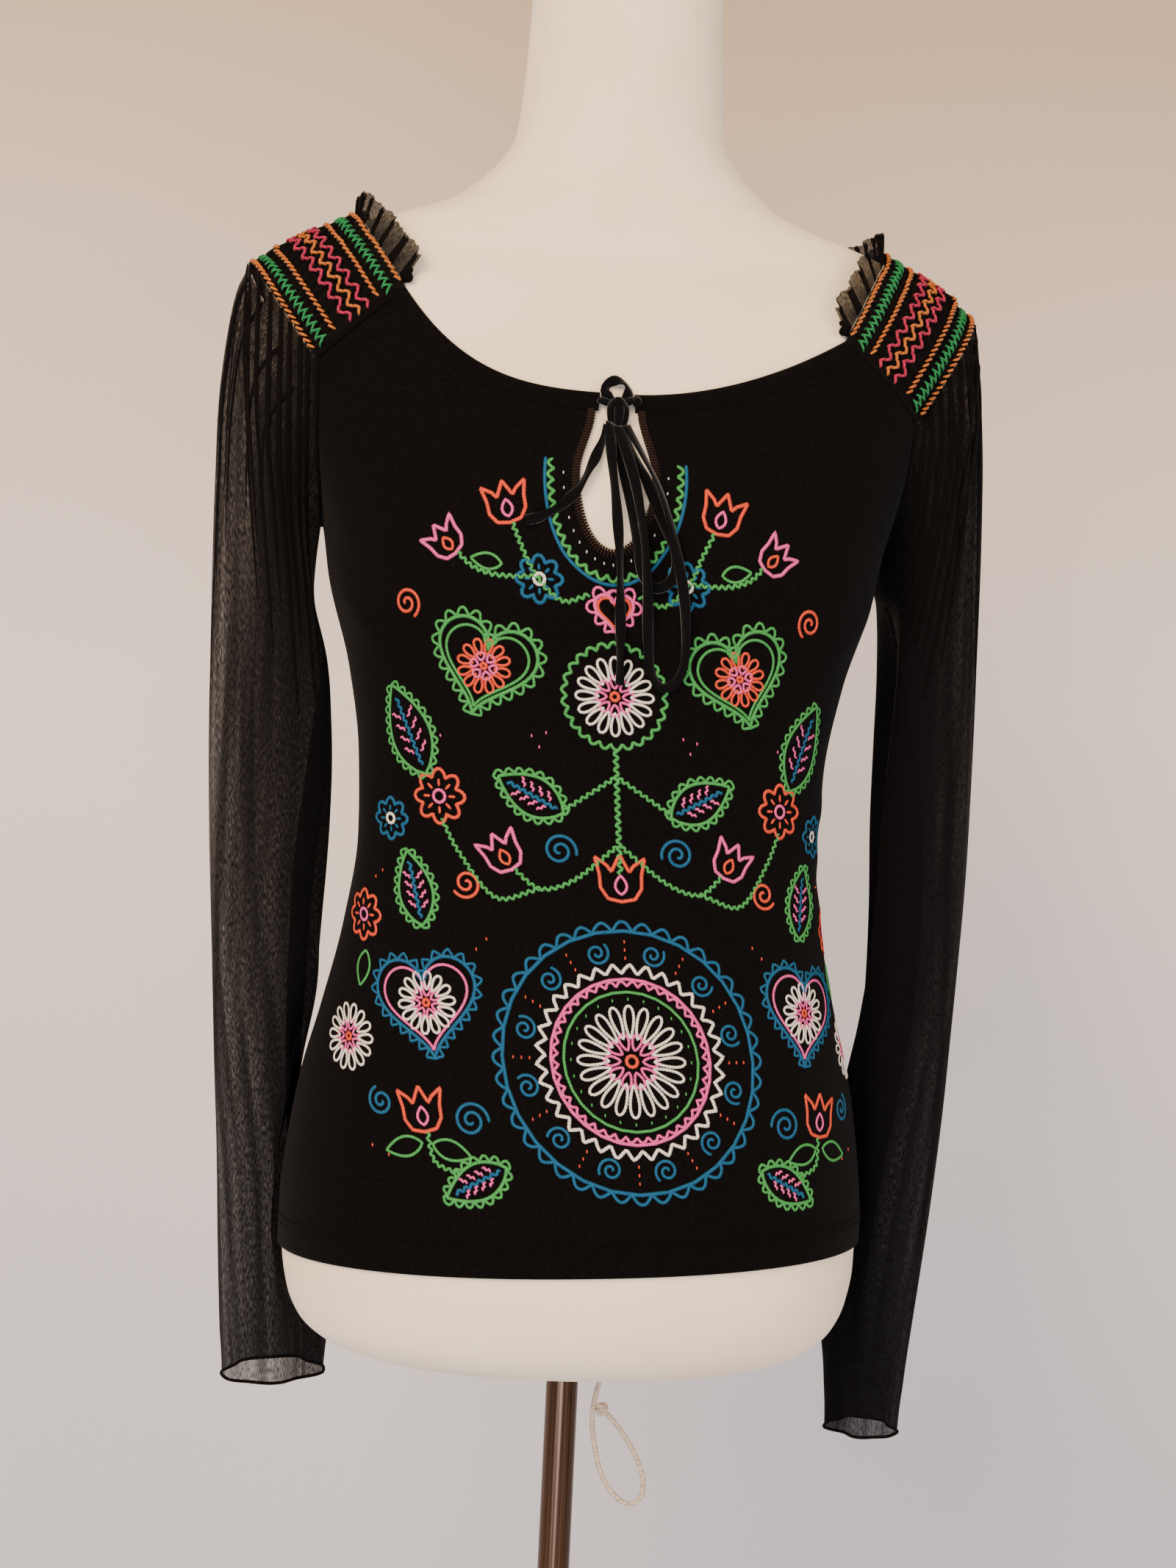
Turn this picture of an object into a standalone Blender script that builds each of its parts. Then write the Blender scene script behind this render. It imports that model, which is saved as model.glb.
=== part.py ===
"""A long-sleeved top on a dress form.

A close-fitting jersey body with a keyhole at the neck, smocked shoulders and sheer sleeves rests
on a limbless dress form, which stands on a pole and a round plate.

Units are metres and Z is up. The wearer's front faces -Y, and the wearer's left is +X. The origin
is on the floor, under the middle of the pole. A turn is an angle round the form: 0 at the centre
front, 90 degrees at the wearer's left side and 180 degrees at the centre back.
"""

from math import pi, radians
from typing import NamedTuple

import bpy
import numpy as np

# Walls and gaps
SEAM_GAP = 0.0003
SHOULDER_GAP = 0.00075
SKIN_GAP = 0.0023
JERSEY = 0.0012
TURNED_JERSEY = 0.0018
CHIFFON = 0.0010
SMOCKED_WALL = 0.0016
PLEAT_RISE = 0.0016
SLEEVE_CLEARANCE = 0.0085
SIDE_SEAM_TURN = radians(0.08)

# Hem
HEM_Z = 0.799
HEM_TILT = 0.038
HEM_BAND = 0.018
HEM_COLUMNS = 23
HEM_KEYHOLE_TURN = radians(12)

# Keyhole and front neckline
KEYHOLE_X = -0.007
KEYHOLE_FOOT_Z = 1.192
KEYHOLE_WIDE_Z = 1.233
KEYHOLE_HALF = 0.021
KEYHOLE_HALF_AT_CASING = 0.013
CASING_END_HALF = 0.010
CASING_WIDTH = 0.010
NECK_FRONT_Z = 1.280
NECK_BACK_Z = 1.322
NECK_POWER_FRONT = (3.4, 1.9)
NECK_POWER_BACK = 2.0

# Shoulder seams: where the smocked pieces meet the casing and the panels
CASING_CORNER_X = 0.124
PANEL_CORNER_X = 0.1315
ARMHOLE_CORNER_X = 0.170
FRONT_SEAM_Z = (1.330, 1.2905)
BACK_SEAM_Z = (1.348, 1.305)
SLIP = 0.007
UNDERARM_Z = 1.212
ARMHOLE_SWEEP = 1.5
ARMHOLE_DROP = 2.4

# Smocking: its ridge over the shoulder, from the neck edge to the sleeve
RIDGE_X = (0.155, 0.2130)
RIDGE_Z = (1.3890, 1.358)
SMOCKING_LIFT = (0.0009, 0.0018)
SHOULDER_PLEATS = 20
SMOCKING_ROWS = 4

# Ruffle
RUFFLE_HEIGHT = 0.0165
RUFFLE_WAVES = 14
RUFFLE_WAVE = 0.0024
RUFFLE_LEAN_ENDS = radians(32)
RUFFLE_LEAN_RIDGE = radians(50)
RUFFLE_SPAN = 0.97

# Sleeve
HEAD_STEPS = 28
UNDERARM_STEPS = 14
GROOVE_HALF_ANGLE = radians(42)
HEAD_GATHERS = (0.0, 0.0022, 0.0021, 0.0016, 0.0010, 0.0005)
CUFF_WAVES = 7
CUFF_WAVE = 0.0015

# Panels: how many columns and rows
KEYHOLE_COLUMNS = 3
NECK_COLUMNS = 7
SEAM_COLUMNS = 3
ARMHOLE_COLUMNS = 4
PANEL_ROWS = 12
YOKE_ROWS = 4
BACK_ROWS = 15
ROW_CROWDING = 0.9
YOKE_SIDE_Z = 1.10
YOKE_CURVE = 1.3

# Ribbon and cord
RIBBON_TUBE_RADIUS = 0.002
RIBBON_SPACING = 0.009
SMALL_LOOP_SPACING = 0.004
DRAWSTRING_RADIUS = 0.0015
DRAWSTRING_SPACING = 0.007
ROUTE_STEPS = 20
KNOT_Z = 1.2670
UNDER_LAYER = 0.0064
OVER_LAYER = 0.0110
UNDER_KNOT = 0.0046
OVER_KNOT = 0.0092

# Stand
POLE_RADIUS = 0.0095
POLE_SIDES = 24
SOCKET_RADIUS = 0.0098
SOCKET_DEPTH = 0.030
BOSS_FLOOR_Z = 0.010
PLATE_RADIUS = 0.160
FOOT_STEPS = 32
FORM_STEPS = 26
RING_SPACING = 0.030

# Search for the skin along a ray
BEYOND_SKIN = 0.3
HALVINGS = 40


class Section(NamedTuple):
    """One level cut of the form. A power of 2 is an ellipse, and a higher one is boxier."""

    z: float
    half_width: float
    front: float
    back: float
    power: float


FORM_SECTIONS = [
    Section(0.728, 0.1050, 0.062, 0.064, 2.2),
    Section(0.732, 0.1250, 0.076, 0.078, 2.2),
    Section(0.740, 0.1450, 0.092, 0.095, 2.2),
    Section(0.752, 0.1585, 0.103, 0.107, 2.2),
    Section(0.768, 0.1655, 0.111, 0.117, 2.2),
    Section(0.790, 0.1690, 0.116, 0.122, 2.2),
    Section(0.820, 0.1695, 0.116, 0.124, 2.2),
    Section(0.850, 0.1670, 0.112, 0.122, 2.2),
    Section(0.890, 0.1610, 0.106, 0.116, 2.2),
    Section(0.930, 0.1510, 0.098, 0.104, 2.2),
    Section(0.980, 0.1400, 0.090, 0.090, 2.2),
    Section(1.030, 0.1340, 0.087, 0.082, 2.2),
    Section(1.080, 0.1360, 0.092, 0.082, 2.2),
    Section(1.130, 0.1440, 0.104, 0.086, 2.3),
    Section(1.180, 0.1580, 0.120, 0.092, 2.4),
    Section(1.210, 0.1630, 0.122, 0.096, 2.5),
    Section(1.250, 0.1740, 0.112, 0.099, 2.8),
    Section(1.290, 0.1850, 0.096, 0.098, 3.0),
    Section(1.320, 0.1990, 0.083, 0.094, 3.0),
    Section(1.345, 0.2050, 0.072, 0.087, 2.8),
    Section(1.361, 0.2030, 0.063, 0.077, 2.5),
    Section(1.3675, 0.1940, 0.060, 0.072, 2.4),
    Section(1.375, 0.1810, 0.0585, 0.070, 2.4),
    Section(1.382, 0.1650, 0.0575, 0.068, 2.3),
    Section(1.3885, 0.1470, 0.057, 0.066, 2.3),
    Section(1.394, 0.1300, 0.0565, 0.065, 2.2),
    Section(1.400, 0.1120, 0.056, 0.064, 2.2),
    Section(1.407, 0.0980, 0.055, 0.063, 2.1),
    Section(1.417, 0.0850, 0.054, 0.062, 2.1),
    Section(1.430, 0.0725, 0.053, 0.060, 2.0),
    Section(1.447, 0.0630, 0.053, 0.057, 2.0),
    Section(1.470, 0.0600, 0.053, 0.054, 2.0),
    Section(1.510, 0.0575, 0.052, 0.052, 2.0),
    Section(1.545, 0.0560, 0.0515, 0.0515, 2.0),
    Section(1.555, 0.0530, 0.049, 0.049, 2.0),
    Section(1.559, 0.0440, 0.041, 0.041, 2.0),
]
HEIGHTS = np.array([section.z for section in FORM_SECTIONS])
COLUMNS = np.array([section[1:] for section in FORM_SECTIONS])


class SleeveRing(NamedTuple):
    """One cut of a sleeve, given for the wearer's left: its outer and inner points, its depth from
    front to back, and how deep the fold on its inner side goes."""

    outer: tuple
    inner: tuple
    depth: float
    groove: float


SLEEVE_RINGS = {
    "right": [
        SleeveRing((0.2215, 0.000, 1.336), (0.1680, 0.000, 1.190), 0.118, 0.000),
        SleeveRing((0.2270, 0.002, 1.290), (0.1640, 0.004, 1.160), 0.106, 0.006),
        SleeveRing((0.2280, 0.004, 1.235), (0.1510, 0.010, 1.120), 0.092, 0.012),
        SleeveRing((0.2275, 0.006, 1.170), (0.1460, 0.016, 1.082), 0.078, 0.016),
        SleeveRing((0.2265, 0.008, 1.100), (0.1450, 0.022, 1.040), 0.069, 0.018),
        SleeveRing((0.2240, 0.010, 1.030), (0.1475, 0.028, 0.993), 0.063, 0.019),
        SleeveRing((0.2195, 0.012, 0.960), (0.1480, 0.038, 0.938), 0.060, 0.019),
        SleeveRing((0.2135, 0.014, 0.895), (0.1490, 0.054, 0.883), 0.058, 0.018),
        SleeveRing((0.2065, 0.014, 0.835), (0.1500, 0.068, 0.828), 0.055, 0.016),
        SleeveRing((0.2015, 0.012, 0.780), (0.1500, 0.070, 0.775), 0.052, 0.014),
        SleeveRing((0.1975, 0.010, 0.737), (0.1490, 0.066, 0.735), 0.050, 0.011),
        SleeveRing((0.1945, 0.008, 0.706), (0.1475, 0.062, 0.705), 0.049, 0.006),
    ],
    "left": [
        SleeveRing((0.2180, 0.000, 1.334), (0.1680, 0.000, 1.190), 0.118, 0.000),
        SleeveRing((0.2235, 0.000, 1.286), (0.1700, 0.002, 1.162), 0.104, 0.006),
        SleeveRing((0.2275, 0.002, 1.230), (0.1705, 0.006, 1.125), 0.090, 0.012),
        SleeveRing((0.2305, 0.004, 1.165), (0.1692, 0.010, 1.085), 0.076, 0.016),
        SleeveRing((0.2330, 0.006, 1.095), (0.1680, 0.014, 1.040), 0.068, 0.018),
        SleeveRing((0.2335, 0.008, 1.025), (0.1690, 0.020, 0.990), 0.064, 0.019),
        SleeveRing((0.2315, 0.012, 0.955), (0.1695, 0.034, 0.935), 0.061, 0.019),
        SleeveRing((0.2272, 0.014, 0.885), (0.1675, 0.054, 0.875), 0.058, 0.018),
        SleeveRing((0.2200, 0.014, 0.820), (0.1665, 0.066, 0.815), 0.053, 0.016),
        SleeveRing((0.2120, 0.012, 0.765), (0.1710, 0.066, 0.760), 0.047, 0.014),
        SleeveRing((0.2045, 0.010, 0.715), (0.1770, 0.058, 0.713), 0.041, 0.010),
        SleeveRing((0.2005, 0.008, 0.679), (0.1775, 0.052, 0.678), 0.037, 0.005),
    ],
}


class RibbonPoint(NamedTuple):
    """A point of the ribbon's route: its place seen from the front and its height off the form."""

    x: float
    z: float
    lift: float = UNDER_LAYER


RIBBON_ROUTES = {
    "tie_loop_small": [
        RibbonPoint(-0.0102, 1.2738),
        RibbonPoint(-0.0134, 1.2796),
        RibbonPoint(-0.0120, 1.2843),
        RibbonPoint(-0.0070, 1.2866),
        RibbonPoint(-0.0020, 1.2843),
        RibbonPoint(-0.0006, 1.2796),
        RibbonPoint(-0.0038, 1.2738),
    ],
    "tie_loop_short": [
        RibbonPoint(-0.0030, 1.2590, UNDER_KNOT),
        RibbonPoint(0.0025, 1.2440),
        RibbonPoint(0.0098, 1.2290),
        RibbonPoint(0.0180, 1.2100),
        RibbonPoint(0.0265, 1.1920),
        RibbonPoint(0.0255, 1.1795),
        RibbonPoint(0.0165, 1.1745),
        RibbonPoint(0.0090, 1.1820),
        RibbonPoint(0.0045, 1.2000),
        RibbonPoint(0.0002, 1.2210),
        RibbonPoint(-0.0048, 1.2420),
        RibbonPoint(-0.0074, 1.2586, UNDER_KNOT),
    ],
    "tie_loop_long": [
        RibbonPoint(-0.0024, 1.2592, OVER_KNOT),
        RibbonPoint(0.0060, 1.2430, OVER_LAYER),
        RibbonPoint(0.0165, 1.2230, OVER_LAYER),
        RibbonPoint(0.0245, 1.1990, OVER_LAYER),
        RibbonPoint(0.0315, 1.1720, OVER_LAYER),
        RibbonPoint(0.0362, 1.1450, UNDER_LAYER),
        RibbonPoint(0.0345, 1.1290, UNDER_LAYER),
        RibbonPoint(0.0262, 1.1220, UNDER_LAYER),
        RibbonPoint(0.0185, 1.1300, UNDER_LAYER),
        RibbonPoint(0.0150, 1.1500, UNDER_LAYER),
        RibbonPoint(0.0118, 1.1750, OVER_LAYER),
        RibbonPoint(0.0080, 1.2020, OVER_LAYER),
        RibbonPoint(0.0020, 1.2290, OVER_LAYER),
        RibbonPoint(-0.0068, 1.2586, OVER_KNOT),
    ],
    "tie_tail_centre": [
        RibbonPoint(-0.0112, 1.2604, OVER_KNOT),
        RibbonPoint(-0.0104, 1.2410, OVER_LAYER),
        RibbonPoint(-0.0072, 1.2150, OVER_LAYER),
        RibbonPoint(-0.0040, 1.1890, OVER_LAYER),
        RibbonPoint(-0.0010, 1.1600, UNDER_LAYER),
        RibbonPoint(0.0012, 1.1350, UNDER_LAYER),
        RibbonPoint(0.0020, 1.1225, UNDER_LAYER),
    ],
    "tie_tail_side": [
        RibbonPoint(-0.0118, 1.2606, UNDER_KNOT),
        RibbonPoint(-0.0160, 1.2480),
        RibbonPoint(-0.0215, 1.2350),
        RibbonPoint(-0.0280, 1.2230),
        RibbonPoint(-0.0370, 1.2140),
        RibbonPoint(-0.0470, 1.2085),
        RibbonPoint(-0.0545, 1.2065),
    ],
}

DRAWSTRING_ROUTE = [
    (0.0205, -0.0200, 0.7276),
    (0.0203, -0.0200, 0.7190),
    (0.0175, -0.0205, 0.7070),
    (0.0165, -0.0215, 0.6940),
    (0.0185, -0.0220, 0.6800),
    (0.0225, -0.0225, 0.6650),
    (0.0300, -0.0225, 0.6525),
    (0.0400, -0.0225, 0.6460),
    (0.0470, -0.0225, 0.6500),
    (0.0480, -0.0225, 0.6610),
    (0.0435, -0.0220, 0.6730),
    (0.0370, -0.0210, 0.6840),
    (0.0290, -0.0200, 0.6940),
    (0.0215, -0.0200, 0.7010),
]


class KnotRing(NamedTuple):
    """One upright cut of the knot, at a distance from its middle along X."""

    offset: float
    half_height: float
    half_depth: float
    lift: float


KNOT_HALF = [
    KnotRing(0.0000, 0.0085, 0.0055, 0.0075),
    KnotRing(0.0026, 0.0078, 0.0050, 0.0073),
    KnotRing(0.0048, 0.0056, 0.0038, 0.0064),
    KnotRing(0.0068, 0.0030, 0.0016, 0.0044),
    KnotRing(0.0087, 0.0026, 0.0007, 0.0030),
]
KNOT_STEPS = 10

FOOT_PROFILE = [
    (0.0, BOSS_FLOOR_Z),
    (SOCKET_RADIUS, BOSS_FLOOR_Z),
    (SOCKET_RADIUS, 0.045),
    (0.0165, 0.045),
    (0.0180, 0.0435),
    (0.0180, 0.0150),
    (0.0230, 0.0105),
    (0.1450, 0.0080),
    (0.1570, 0.0060),
    (PLATE_RADIUS, 0.0030),
    (0.1590, 0.0),
    (0.0, 0.0),
]


def column_slopes():
    """Slopes at the sections that keep each column's curve smooth and free of overshoot."""
    rises = np.diff(COLUMNS, axis=0) / np.diff(HEIGHTS)[:, None]
    slopes = np.concatenate([rises[:1], np.zeros_like(rises[1:]), rises[-1:]])
    below, above = rises[:-1], rises[1:]
    both = below * above
    total = np.where(both > 0, below + above, 1.0)
    slopes[1:-1] = np.where(both > 0, 2 * both / total, 0.0)
    return slopes


SLOPES = column_slopes()


def section_at(z):
    """Half width, front depth, back depth and power of the form at each height."""
    z = np.clip(np.asarray(z, float), HEIGHTS[0], HEIGHTS[-1])
    i = np.clip(np.searchsorted(HEIGHTS, z) - 1, 0, len(HEIGHTS) - 2)
    step = (HEIGHTS[i + 1] - HEIGHTS[i])[..., None]
    t = (z - HEIGHTS[i])[..., None] / step
    low = (1 + 2 * t) * COLUMNS[i] + t * step * SLOPES[i]
    high = (3 - 2 * t) * COLUMNS[i + 1] - (1 - t) * step * SLOPES[i + 1]
    return np.moveaxis((1 - t) ** 2 * low + t**2 * high, -1, 0)


def on_skin(turn, z):
    """Points on the form's skin."""
    turn, z = np.broadcast_arrays(np.asarray(turn, float), np.asarray(z, float))
    half_width, front, back, power = section_at(z)
    across, ahead = np.sin(turn), np.cos(turn)
    reach = (np.abs(across) ** power + np.abs(ahead) ** power) ** (-1 / power)
    depth = np.where(ahead > 0, front, back)
    return np.stack([half_width * reach * across, -depth * reach * ahead, z], axis=-1)


def skin_value(points):
    """1 on the form's skin, less inside it and more outside."""
    x, y, z = np.moveaxis(np.asarray(points, float), -1, 0)
    half_width, front, back, power = section_at(z)
    depth = np.where(y < 0, front, back)
    sum_of_powers = (np.abs(x) / half_width) ** power + (np.abs(y) / depth) ** power
    return sum_of_powers ** (1 / power)


def unit(vectors):
    """Vectors brought to length 1."""
    return vectors / np.linalg.norm(vectors, axis=-1, keepdims=True)


def outward(points):
    """Directions straight out of the form's skin."""
    probe = 0.0005
    changes = [skin_value(points + step) - skin_value(points - step) for step in np.eye(3) * probe]
    return unit(np.stack(changes, axis=-1))


def off_skin(turn, z, lift):
    """Points at a distance off the form's skin."""
    skin = on_skin(turn, z)
    return skin + outward(skin) * np.asarray(lift, float)[..., None]


def turn_at(x, z, behind=False):
    """The turn at which the skin reaches x, at the front or behind."""
    half_width, _, _, power = section_at(z)
    across = np.clip(np.abs(x) / half_width, 0, 1)
    turn = np.copysign(np.arctan2(across, (1 - across**power) ** (1 / power)), x)
    return np.copysign(pi, x) - turn if behind else turn


def skin_distance(origin, direction):
    """How far the skin is from points inside the form, along each direction."""
    near = np.zeros(direction.shape[:-1])
    far = np.full(direction.shape[:-1], BEYOND_SKIN)
    for _ in range(HALVINGS):
        middle = (near + far) / 2
        inside = skin_value(origin + direction * middle[..., None]) < 1
        near, far = np.where(inside, middle, near), np.where(inside, far, middle)
    return near


def blend(start, end, part):
    """The value a part of the way from start to end."""
    return start + (end - start) * part


def slip_of(x):
    """The top has slipped forward on the wearer's left shoulder and back on the right one."""
    return np.where(np.asarray(x) > 0, -SLIP, SLIP)


def shoulder_seam_z(x, behind=False):
    """Height of the seam between the smocking and a panel or its casing."""
    part = (np.abs(x) - CASING_CORNER_X) / (ARMHOLE_CORNER_X - CASING_CORNER_X)
    if behind:
        return blend(*BACK_SEAM_Z, part) - slip_of(x)
    return blend(*FRONT_SEAM_Z, part) + slip_of(x)


def neck_power(x, behind):
    """How sharply the neck edge turns up to the shoulder. The wearer's right side is the sharper one."""
    if behind:
        return NECK_POWER_BACK
    return np.where(np.asarray(x) < 0, *NECK_POWER_FRONT)


def neckline_z(x, behind=False):
    """Height of the neck edge, which is the casing's upper edge."""
    corner = shoulder_seam_z(np.copysign(CASING_CORNER_X, x), behind)
    lowest = NECK_BACK_Z if behind else NECK_FRONT_Z
    return lowest + (corner - lowest) * (np.abs(x) / CASING_CORNER_X) ** neck_power(x, behind)


def casing_seam_z(x, behind=False):
    """Height of the casing's lower edge, where the panel starts."""
    corner = shoulder_seam_z(np.copysign(PANEL_CORNER_X, x), behind)
    lowest = (NECK_BACK_Z if behind else NECK_FRONT_Z) - CASING_WIDTH
    return lowest + (corner - lowest) * (np.abs(x) / PANEL_CORNER_X) ** neck_power(x, behind)


def armhole(side, part, behind=False):
    """Turn and height along the armhole: part is 0 at the smocking and 1 under the arm."""
    corner_x = side * ARMHOLE_CORNER_X
    corner_z = shoulder_seam_z(corner_x, behind)
    sweep = np.asarray(part) ** ARMHOLE_SWEEP
    turn = blend(turn_at(corner_x, corner_z, behind), side * pi / 2, sweep)
    return turn, blend(corner_z, UNDERARM_Z, 1 - (1 - sweep) ** ARMHOLE_DROP)


def keyhole_half(z):
    """Half the keyhole's width above its widest level."""
    part = (z - KEYHOLE_WIDE_Z) / (NECK_FRONT_Z - CASING_WIDTH - KEYHOLE_WIDE_Z)
    return blend(KEYHOLE_HALF, KEYHOLE_HALF_AT_CASING, part * part * (3 - 2 * part))


def clear_hierarchy():
    """Empty the file, so that the script can run more than once."""
    for item in list(bpy.data.objects):
        bpy.data.objects.remove(item, do_unlink=True)


def make_material(name, color, roughness, metallic=0.0):
    """A plain material for one kind of piece."""
    material = bpy.data.materials.new(name)
    material.use_nodes = True
    shader = material.node_tree.nodes["Principled BSDF"]
    shader.inputs["Base Color"].default_value = (*color, 1.0)
    shader.inputs["Roughness"].default_value = roughness
    shader.inputs["Metallic"].default_value = metallic
    material.diffuse_color = (*color, 1.0)
    return material


def add_object(collection, name, data, material):
    """Put a mesh or curve in the collection as a named piece."""
    piece = bpy.data.objects.new(name, data)
    data.materials.append(material)
    collection.objects.link(piece)
    return piece


def mesh_of(name, points, faces):
    """A smooth-shaded mesh from points and faces."""
    mesh = bpy.data.meshes.new(name)
    mesh.from_pydata([tuple(point) for point in points], [], faces)
    mesh.shade_smooth()
    return mesh


def grid_mesh(name, grid, wrap=False):
    """A mesh over a grid of points. Cells with a missing corner stay open."""
    rows, columns = grid.shape[:2]
    present = ~np.isnan(grid[..., 0])
    numbers = np.where(present, np.cumsum(present).reshape(present.shape) - 1, -1)
    faces = []
    for row in range(rows - 1):
        for column in range(columns if wrap else columns - 1):
            beside = (column + 1) % columns
            corners = [(row, column), (row, beside), (row + 1, beside), (row + 1, column)]
            face = [int(numbers[corner]) for corner in corners]
            if min(face) >= 0:
                faces.append(face)
    return mesh_of(name, grid[present], faces)


def add_cloth(collection, name, grid, thickness, material, wrap=False, offset=1.0):
    """An open sheet of cloth with a wall. An offset of 1 puts the wall on the sheet's outer side."""
    piece = add_object(collection, name, grid_mesh(name, grid, wrap), material)
    solidify = piece.modifiers.new("wall", "SOLIDIFY")
    solidify.thickness = thickness
    solidify.offset = offset
    solidify.use_even_offset = True
    return piece


def loft(rings):
    """Points and faces of a closed body through rings of equal count, with a flat cap at each end."""
    count = len(rings[0])
    points = np.concatenate(rings)
    faces = [list(range(count))[::-1]]
    for level in range(len(rings) - 1):
        for step in range(count):
            a = level * count + step
            b = level * count + (step + 1) % count
            faces.append([a, b, b + count, a + count])
    last = (len(rings) - 1) * count
    faces.append([last + step for step in range(count)])
    return points, faces


def form_heights():
    """Heights of the form's rings: its sections, and more of them where they lie far apart."""
    heights = [HEIGHTS[0]]
    for low, high in zip(HEIGHTS[:-1], HEIGHTS[1:]):
        pieces = int(np.ceil((high - low) / RING_SPACING))
        heights.extend(low + (high - low) * (k + 1) / pieces for k in range(pieces))
    return heights


def build_form(collection, material):
    """The limbless torso, with a socket underneath for the pole."""
    turns = np.linspace(0, 2 * pi, FORM_STEPS, endpoint=False)
    circle = np.stack([np.sin(turns), -np.cos(turns), np.zeros_like(turns)], axis=-1)
    floor_z = FORM_SECTIONS[0].z
    rings = [
        circle * SOCKET_RADIUS + (0, 0, floor_z + SOCKET_DEPTH),
        circle * SOCKET_RADIUS + (0, 0, floor_z),
    ]
    rings += [on_skin(turns, np.full(FORM_STEPS, z)) for z in form_heights()]
    points, faces = loft(rings)
    add_object(collection, "form_torso", mesh_of("form_torso", points, faces), material)


def build_stand(collection, material):
    """The pole and the round plate that it stands in."""
    pole_foot = BOSS_FLOOR_Z + SEAM_GAP
    pole_top = FORM_SECTIONS[0].z + SOCKET_DEPTH - SEAM_GAP
    bpy.ops.mesh.primitive_cylinder_add(
        vertices=POLE_SIDES,
        radius=POLE_RADIUS,
        depth=pole_top - pole_foot,
        location=(0, 0, (pole_top + pole_foot) / 2),
    )
    pole = bpy.context.object
    pole.name = "stand_pole"
    pole.data.materials.append(material)
    for holder in list(pole.users_collection):
        holder.objects.unlink(pole)
    collection.objects.link(pole)

    mesh = bpy.data.meshes.new("stand_foot")
    edges = [(i, i + 1) for i in range(len(FOOT_PROFILE) - 1)]
    mesh.from_pydata([(radius, 0, z) for radius, z in FOOT_PROFILE], edges, [])
    foot = add_object(collection, "stand_foot", mesh, material)
    screw = foot.modifiers.new("turned", "SCREW")
    screw.steps = screw.render_steps = FOOT_STEPS
    screw.use_merge_vertices = True
    screw.merge_threshold = 0.0001


def neck_stations(side=0):
    """Places across the neck edge, which its casing and its panel share so that their edges meet:
    from the keyhole out to one side at the front, or from left to right at the back."""
    if side == 0:
        return np.linspace(PANEL_CORNER_X, -PANEL_CORNER_X, 2 * NECK_COLUMNS + 1)
    edge_x = KEYHOLE_X + side * KEYHOLE_HALF_AT_CASING
    return np.linspace(edge_x, side * PANEL_CORNER_X, NECK_COLUMNS + 1)


def front_side_columns(side):
    """Turn and height of one half front's columns at the hem, the yoke line and the top edge, from
    the keyhole outwards."""
    last_turn = side * (pi / 2 - SIDE_SEAM_TURN)
    neck_x = neck_stations(side)
    seam_x = np.linspace(side * PANEL_CORNER_X, side * ARMHOLE_CORNER_X, SEAM_COLUMNS + 1)[1:]
    neck_z = casing_seam_z(neck_x)
    seam_z = shoulder_seam_z(seam_x)
    arm_turn, arm_z = armhole(side, np.linspace(0, 1, ARMHOLE_COLUMNS + 1)[1:])
    top_turn = np.concatenate([turn_at(neck_x, neck_z), turn_at(seam_x, seam_z), arm_turn])
    top_turn[-1] = last_turn
    top_z = np.concatenate([neck_z, seam_z, arm_z])

    part = np.linspace(0, 1, len(top_turn))
    yoke_x = KEYHOLE_X + side * KEYHOLE_HALF
    yoke_turn = turn_at(yoke_x, KEYHOLE_WIDE_Z)
    spread = (top_turn - top_turn[0]) / (top_turn[-1] - top_turn[0])
    yoke_turns = blend(yoke_turn, last_turn, spread)
    yoke_z = blend(KEYHOLE_WIDE_Z, YOKE_SIDE_Z, part**YOKE_CURVE)
    hem_turns = blend(side * HEM_KEYHOLE_TURN, last_turn, part)
    return hem_turns, (yoke_turns, yoke_z), (top_turn, top_z)


def keyhole_columns():
    """Turn and height of the columns under the keyhole, at the hem and at its lower edge."""
    swing = np.linspace(-pi / 2, pi / 2, 2 * KEYHOLE_COLUMNS + 1)[1:-1]
    x = KEYHOLE_X + KEYHOLE_HALF * np.sin(swing)
    z = blend(KEYHOLE_WIDE_Z, KEYHOLE_FOOT_Z, np.cos(swing))
    return HEM_KEYHOLE_TURN * swing / (pi / 2), (turn_at(x, z), z)


def panel_foot_z(turns):
    """Height of a panel's lower edge, where its hem starts."""
    x = on_skin(turns, np.full(np.shape(turns), HEM_Z))[..., 0]
    return HEM_Z + HEM_TILT * x + HEM_BAND


def front_grid():
    """The front panel's points, with the keyhole left open."""
    right_hem, right_yoke, right_top = front_side_columns(-1)
    left_hem, left_yoke, left_top = front_side_columns(1)
    key_hem, key_foot = keyhole_columns()
    missing = np.full(len(key_hem), np.nan)
    hem_turn = np.concatenate([right_hem[::-1], key_hem, left_hem])
    yoke = [np.concatenate([r[::-1], k, l]) for r, k, l in zip(right_yoke, key_foot, left_yoke)]
    top = [np.concatenate([r[::-1], missing, l]) for r, l in zip(right_top, left_top)]
    foot = [hem_turn, panel_foot_z(hem_turn)]

    rows = []
    for part in np.linspace(0, 1, PANEL_ROWS + 1) ** ROW_CROWDING:
        rows.append([blend(low, high, part) for low, high in zip(foot, yoke)])
    edges = {len(right_hem) - 1: -1, len(right_hem) + len(key_hem): 1}
    for part in np.linspace(0, 1, YOKE_ROWS + 1)[1:]:
        turn, z = (blend(low, high, part) for low, high in zip(yoke, top))
        for column, side in edges.items():
            turn[column] = turn_at(KEYHOLE_X + side * keyhole_half(z[column]), z[column])
        rows.append([turn, z])
    turn, z = np.moveaxis(np.array(rows), 1, 0)
    return off_skin(turn, z, SKIN_GAP)


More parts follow.
